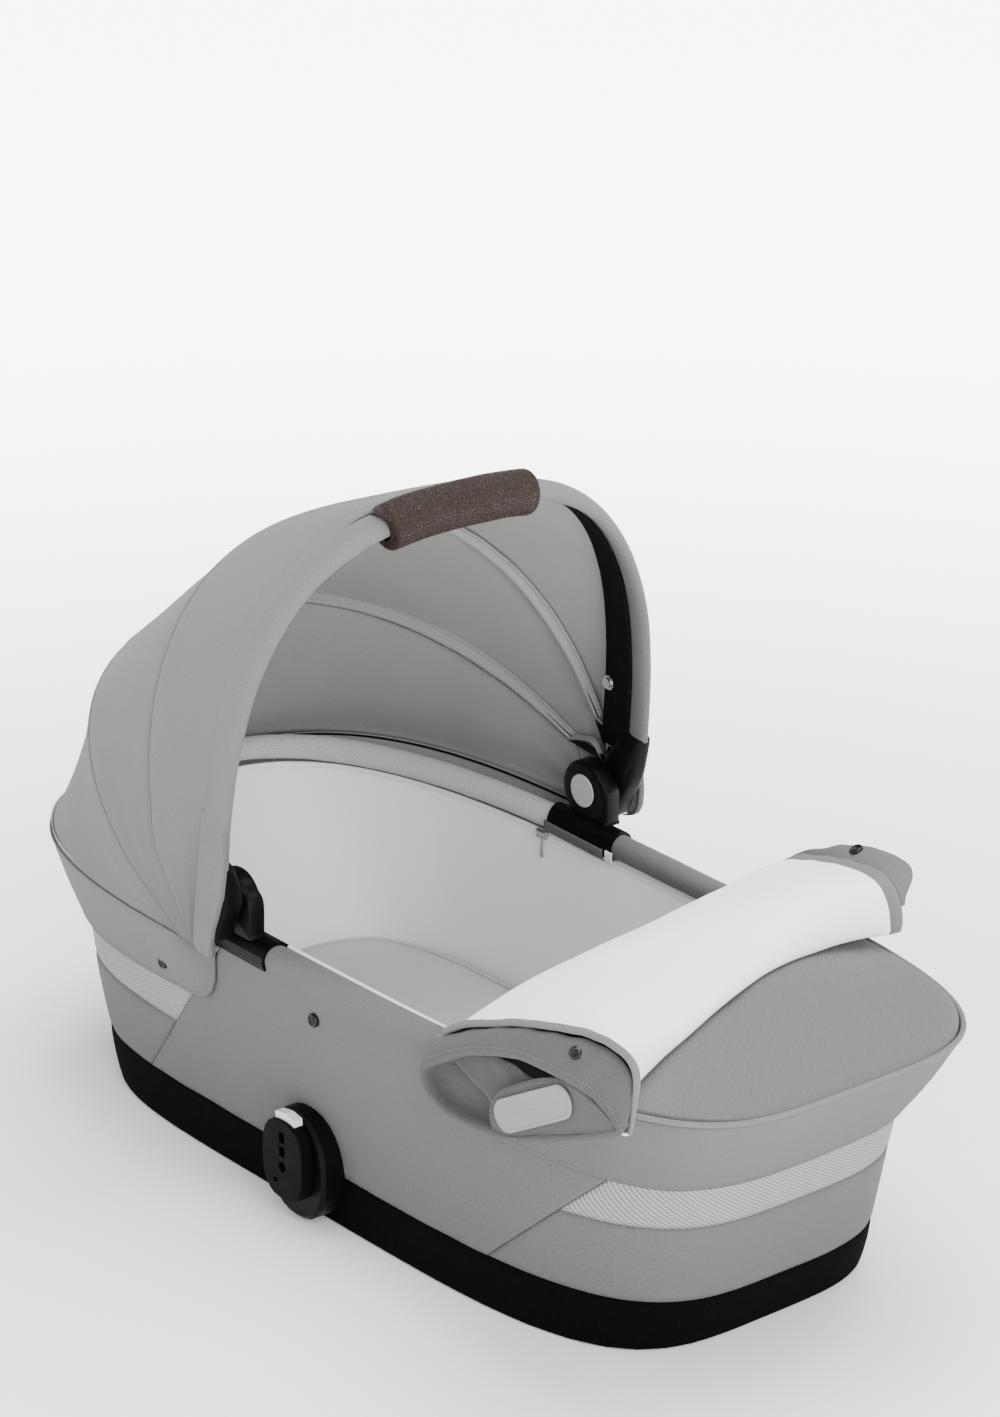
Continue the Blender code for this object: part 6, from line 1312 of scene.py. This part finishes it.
# Far lobe past the flap's end
far_curve = np.array([flap.data.vertices[i * len(ys) + len(ys) - 1].co for i in range(50, 13, -1)])
base = catmull(far_curve, 60)
u = np.linspace(0, 1, 60)
along = base[:, 0] * 1000
LOBE_PLACES = [143, 150, 162, 190, 215, 240, 251, 261, 266]
reach = np.interp(along, LOBE_PLACES, [0.3, 1.5, 5, 13, 20, 25, 26, 17, 3]) * MM
up_by = np.interp(along, LOBE_PLACES, [0.2, 1, 4, 8, 8, 4, 2, 2, 0]) * MM
for _ in range(8):
    reach[1:-1] = (reach[:-2] + reach[2:] + 2 * reach[1:-1]) / 4
    up_by[1:-1] = (up_by[:-2] + up_by[2:] + 2 * up_by[1:-1]) / 4
cols = []
for v in np.linspace(-0.12, 1, 20):
    q = base.copy()
    q[:, 1] = 0.1868 + reach * max(v, 0)
    q[:, 2] += up_by * v - 1.5 * MM + 2.6 * MM * math.sin(math.pi * min(max(v, 0), 1)) * np.sin(math.pi * u)
    cols.append(q)
p = np.stack(cols, 1)
p[..., 2] += 0.5 * MM * field(p, 0.045, 101)
lobe = p
tongue = sheet_mesh("soft_tongue", p, [SIDE], 2.4 * MM, body="flap", face=(30, 6, (0, 0, 1.0)),
                    node="flap_tongue", slot="grey_fabric")
panel_of_cloth(p)
stitches("tongue_stitch", p[3:-3, -2], "flap", pitch=3.4, length=2.3, radius=0.28)

# Snaps, each a turned cap with a ring and a centre
SNAP_PROFILE = [(5.5, -1.6), (5.5, 0.9), (4.9, 1.5), (4.0, 1.6), (3.5, 1.1), (3.2, 0.5), (2.4, 0.5),
                (2.1, 1.3), (1.7, 1.5), (1.0, 1.2), (0.6, 0.7), (0, 0.7)]
NEAR_SNAP_SHIFT = np.array([3.2, -2.6, -6.4]) * MM
LOBE_CAP_PLACE = (0.207, 0.1965)
for name, way in (("wall_snap_near", None), ("wall_snap_far", None), ("skirt_snap_near", None),
                  ("skirt_snap_far", None), ("flap_snap_near", (0.05, -0.5, 0.86)),
                  ("flap_snap_far", (0, 1, 0))):
    low, high = [np.array(corner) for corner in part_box(name)]
    centre = (low + high) / 2
    if way is None:
        side = 1 if centre[1] > 0 else -1
        way = outward(angle_at(centre[0], centre[2], side), centre[2])
    if name == "flap_snap_near":
        centre = centre + NEAR_SNAP_SHIFT
    lathe("cap_of_" + name, centre, way, SNAP_PROFILE, [SNAP], "flap" if name.startswith("flap") else "tub",
          node=name, slot="black_plastic")

away_from_cap = np.linalg.norm(lobe[..., :2] - LOBE_CAP_PLACE, axis=2)
spot = np.unravel_index(np.argmin(away_from_cap), lobe.shape[:2])
way = normals(lobe)[spot]
lathe("lobe_cap", lobe[spot], way * np.sign(way[2]), SNAP_PROFILE, [SNAP], "flap", slot="black_plastic")

# Floor, light, camera
floor_look = bpy.data.materials.new("floor_look")
floor_look.use_nodes = True
nt = floor_look.node_tree
sh = nt.nodes["Principled BSDF"]
sh.inputs["Base Color"].default_value = (0.97, 0.97, 0.97, 1)
sh.inputs["Roughness"].default_value = 0.8
sh.inputs["Specular IOR Level"].default_value = 0.1
# The floor glows, not at all near the object and more strongly further out: painted light that also lights
# the object.
place = nt.nodes.new("ShaderNodeTexCoord")
length = nt.nodes.new("ShaderNodeVectorMath")
length.operation = "LENGTH"
nt.links.new(place.outputs["Object"], length.inputs[0])
glow = nt.nodes.new("ShaderNodeMapRange")
glow.interpolation_type = "SMOOTHSTEP"
for key, value in (("From Min", 0.42), ("From Max", 2.6), ("To Min", 0.0), ("To Max", 7.0)):
    glow.inputs[key].default_value = value
nt.links.new(length.outputs["Value"], glow.inputs["Value"])
sh.inputs["Emission Color"].default_value = (1, 1, 1, 1)
nt.links.new(glow.outputs["Result"], sh.inputs["Emission Strength"])
FLOOR_HALF, FLOOR_Z = 12, -0.0002
verts = [(x * FLOOR_HALF, y * FLOOR_HALF, FLOOR_Z) for x, y in ((-1, -1), (1, -1), (1, 1), (-1, 1))]
add_object("floor", verts, [(0, 1, 2, 3)], [floor_look], flat=True)

world = bpy.data.worlds.new("studio")
bpy.context.scene.world = world
world.use_nodes = True
world.node_tree.nodes["Background"].inputs[0].default_value = (1, 1, 1, 1)
world.node_tree.nodes["Background"].inputs[1].default_value = 1.0


def softbox(name, place, target, size, power):
    data = bpy.data.lights.new(name, "AREA")
    data.shape = "RECTANGLE"
    data.size, data.size_y = size
    data.energy = power
    ob = bpy.data.objects.new(name, data)
    ob.location = place
    ob.rotation_euler = (Vector(target) - Vector(place)).to_track_quat("-Z", "Y").to_euler()
    bpy.context.scene.collection.objects.link(ob)


softbox("top_light", (-0.1, 0.5, 2.4), (0, 0, 0.2), (1.9, 1.9), 105)
softbox("left_light", (-1.8, -1.6, 1.3), (0, 0, 0.3), (1.6, 1.6), 12)
softbox("front_light", (3.0, -1.1, 1.8), (-0.1, 0, 0.28), (2.6, 2.2), 150)

# The camera that was fitted to the photograph, whose size and middle are in its pixels
PHOTO_WIDE, PHOTO_HIGH, FOCAL = 1000, 1417, 4423.578
MIDDLE_X, MIDDLE_Y = 497.64, 767.655
SENSOR = 36
AZ, EL, ROLL = math.radians(51.1281), math.radians(22.1556), math.radians(0.0438)
CAMERA_PLACE = (2.4657, -1.9796, 1.6231)
right = Vector((math.cos(AZ), math.sin(AZ), 0))
back = Vector((math.sin(AZ) * math.cos(EL), -math.cos(AZ) * math.cos(EL), math.sin(EL)))
turned = Matrix((right, back.cross(right), back)).transposed().to_4x4() @ Matrix.Rotation(ROLL, 4, "Z")
cam_data = bpy.data.cameras.new("photo_camera")
cam_data.lens = FOCAL / PHOTO_HIGH * SENSOR
cam_data.sensor_width = SENSOR
cam_data.shift_x = (PHOTO_WIDE / 2 - MIDDLE_X) / PHOTO_HIGH
cam_data.shift_y = (MIDDLE_Y - PHOTO_HIGH / 2) / PHOTO_HIGH
cam = bpy.data.objects.new("photo_camera", cam_data)
cam.matrix_world = Matrix.Translation(CAMERA_PLACE) @ turned
bpy.context.scene.collection.objects.link(cam)
bpy.context.scene.camera = cam
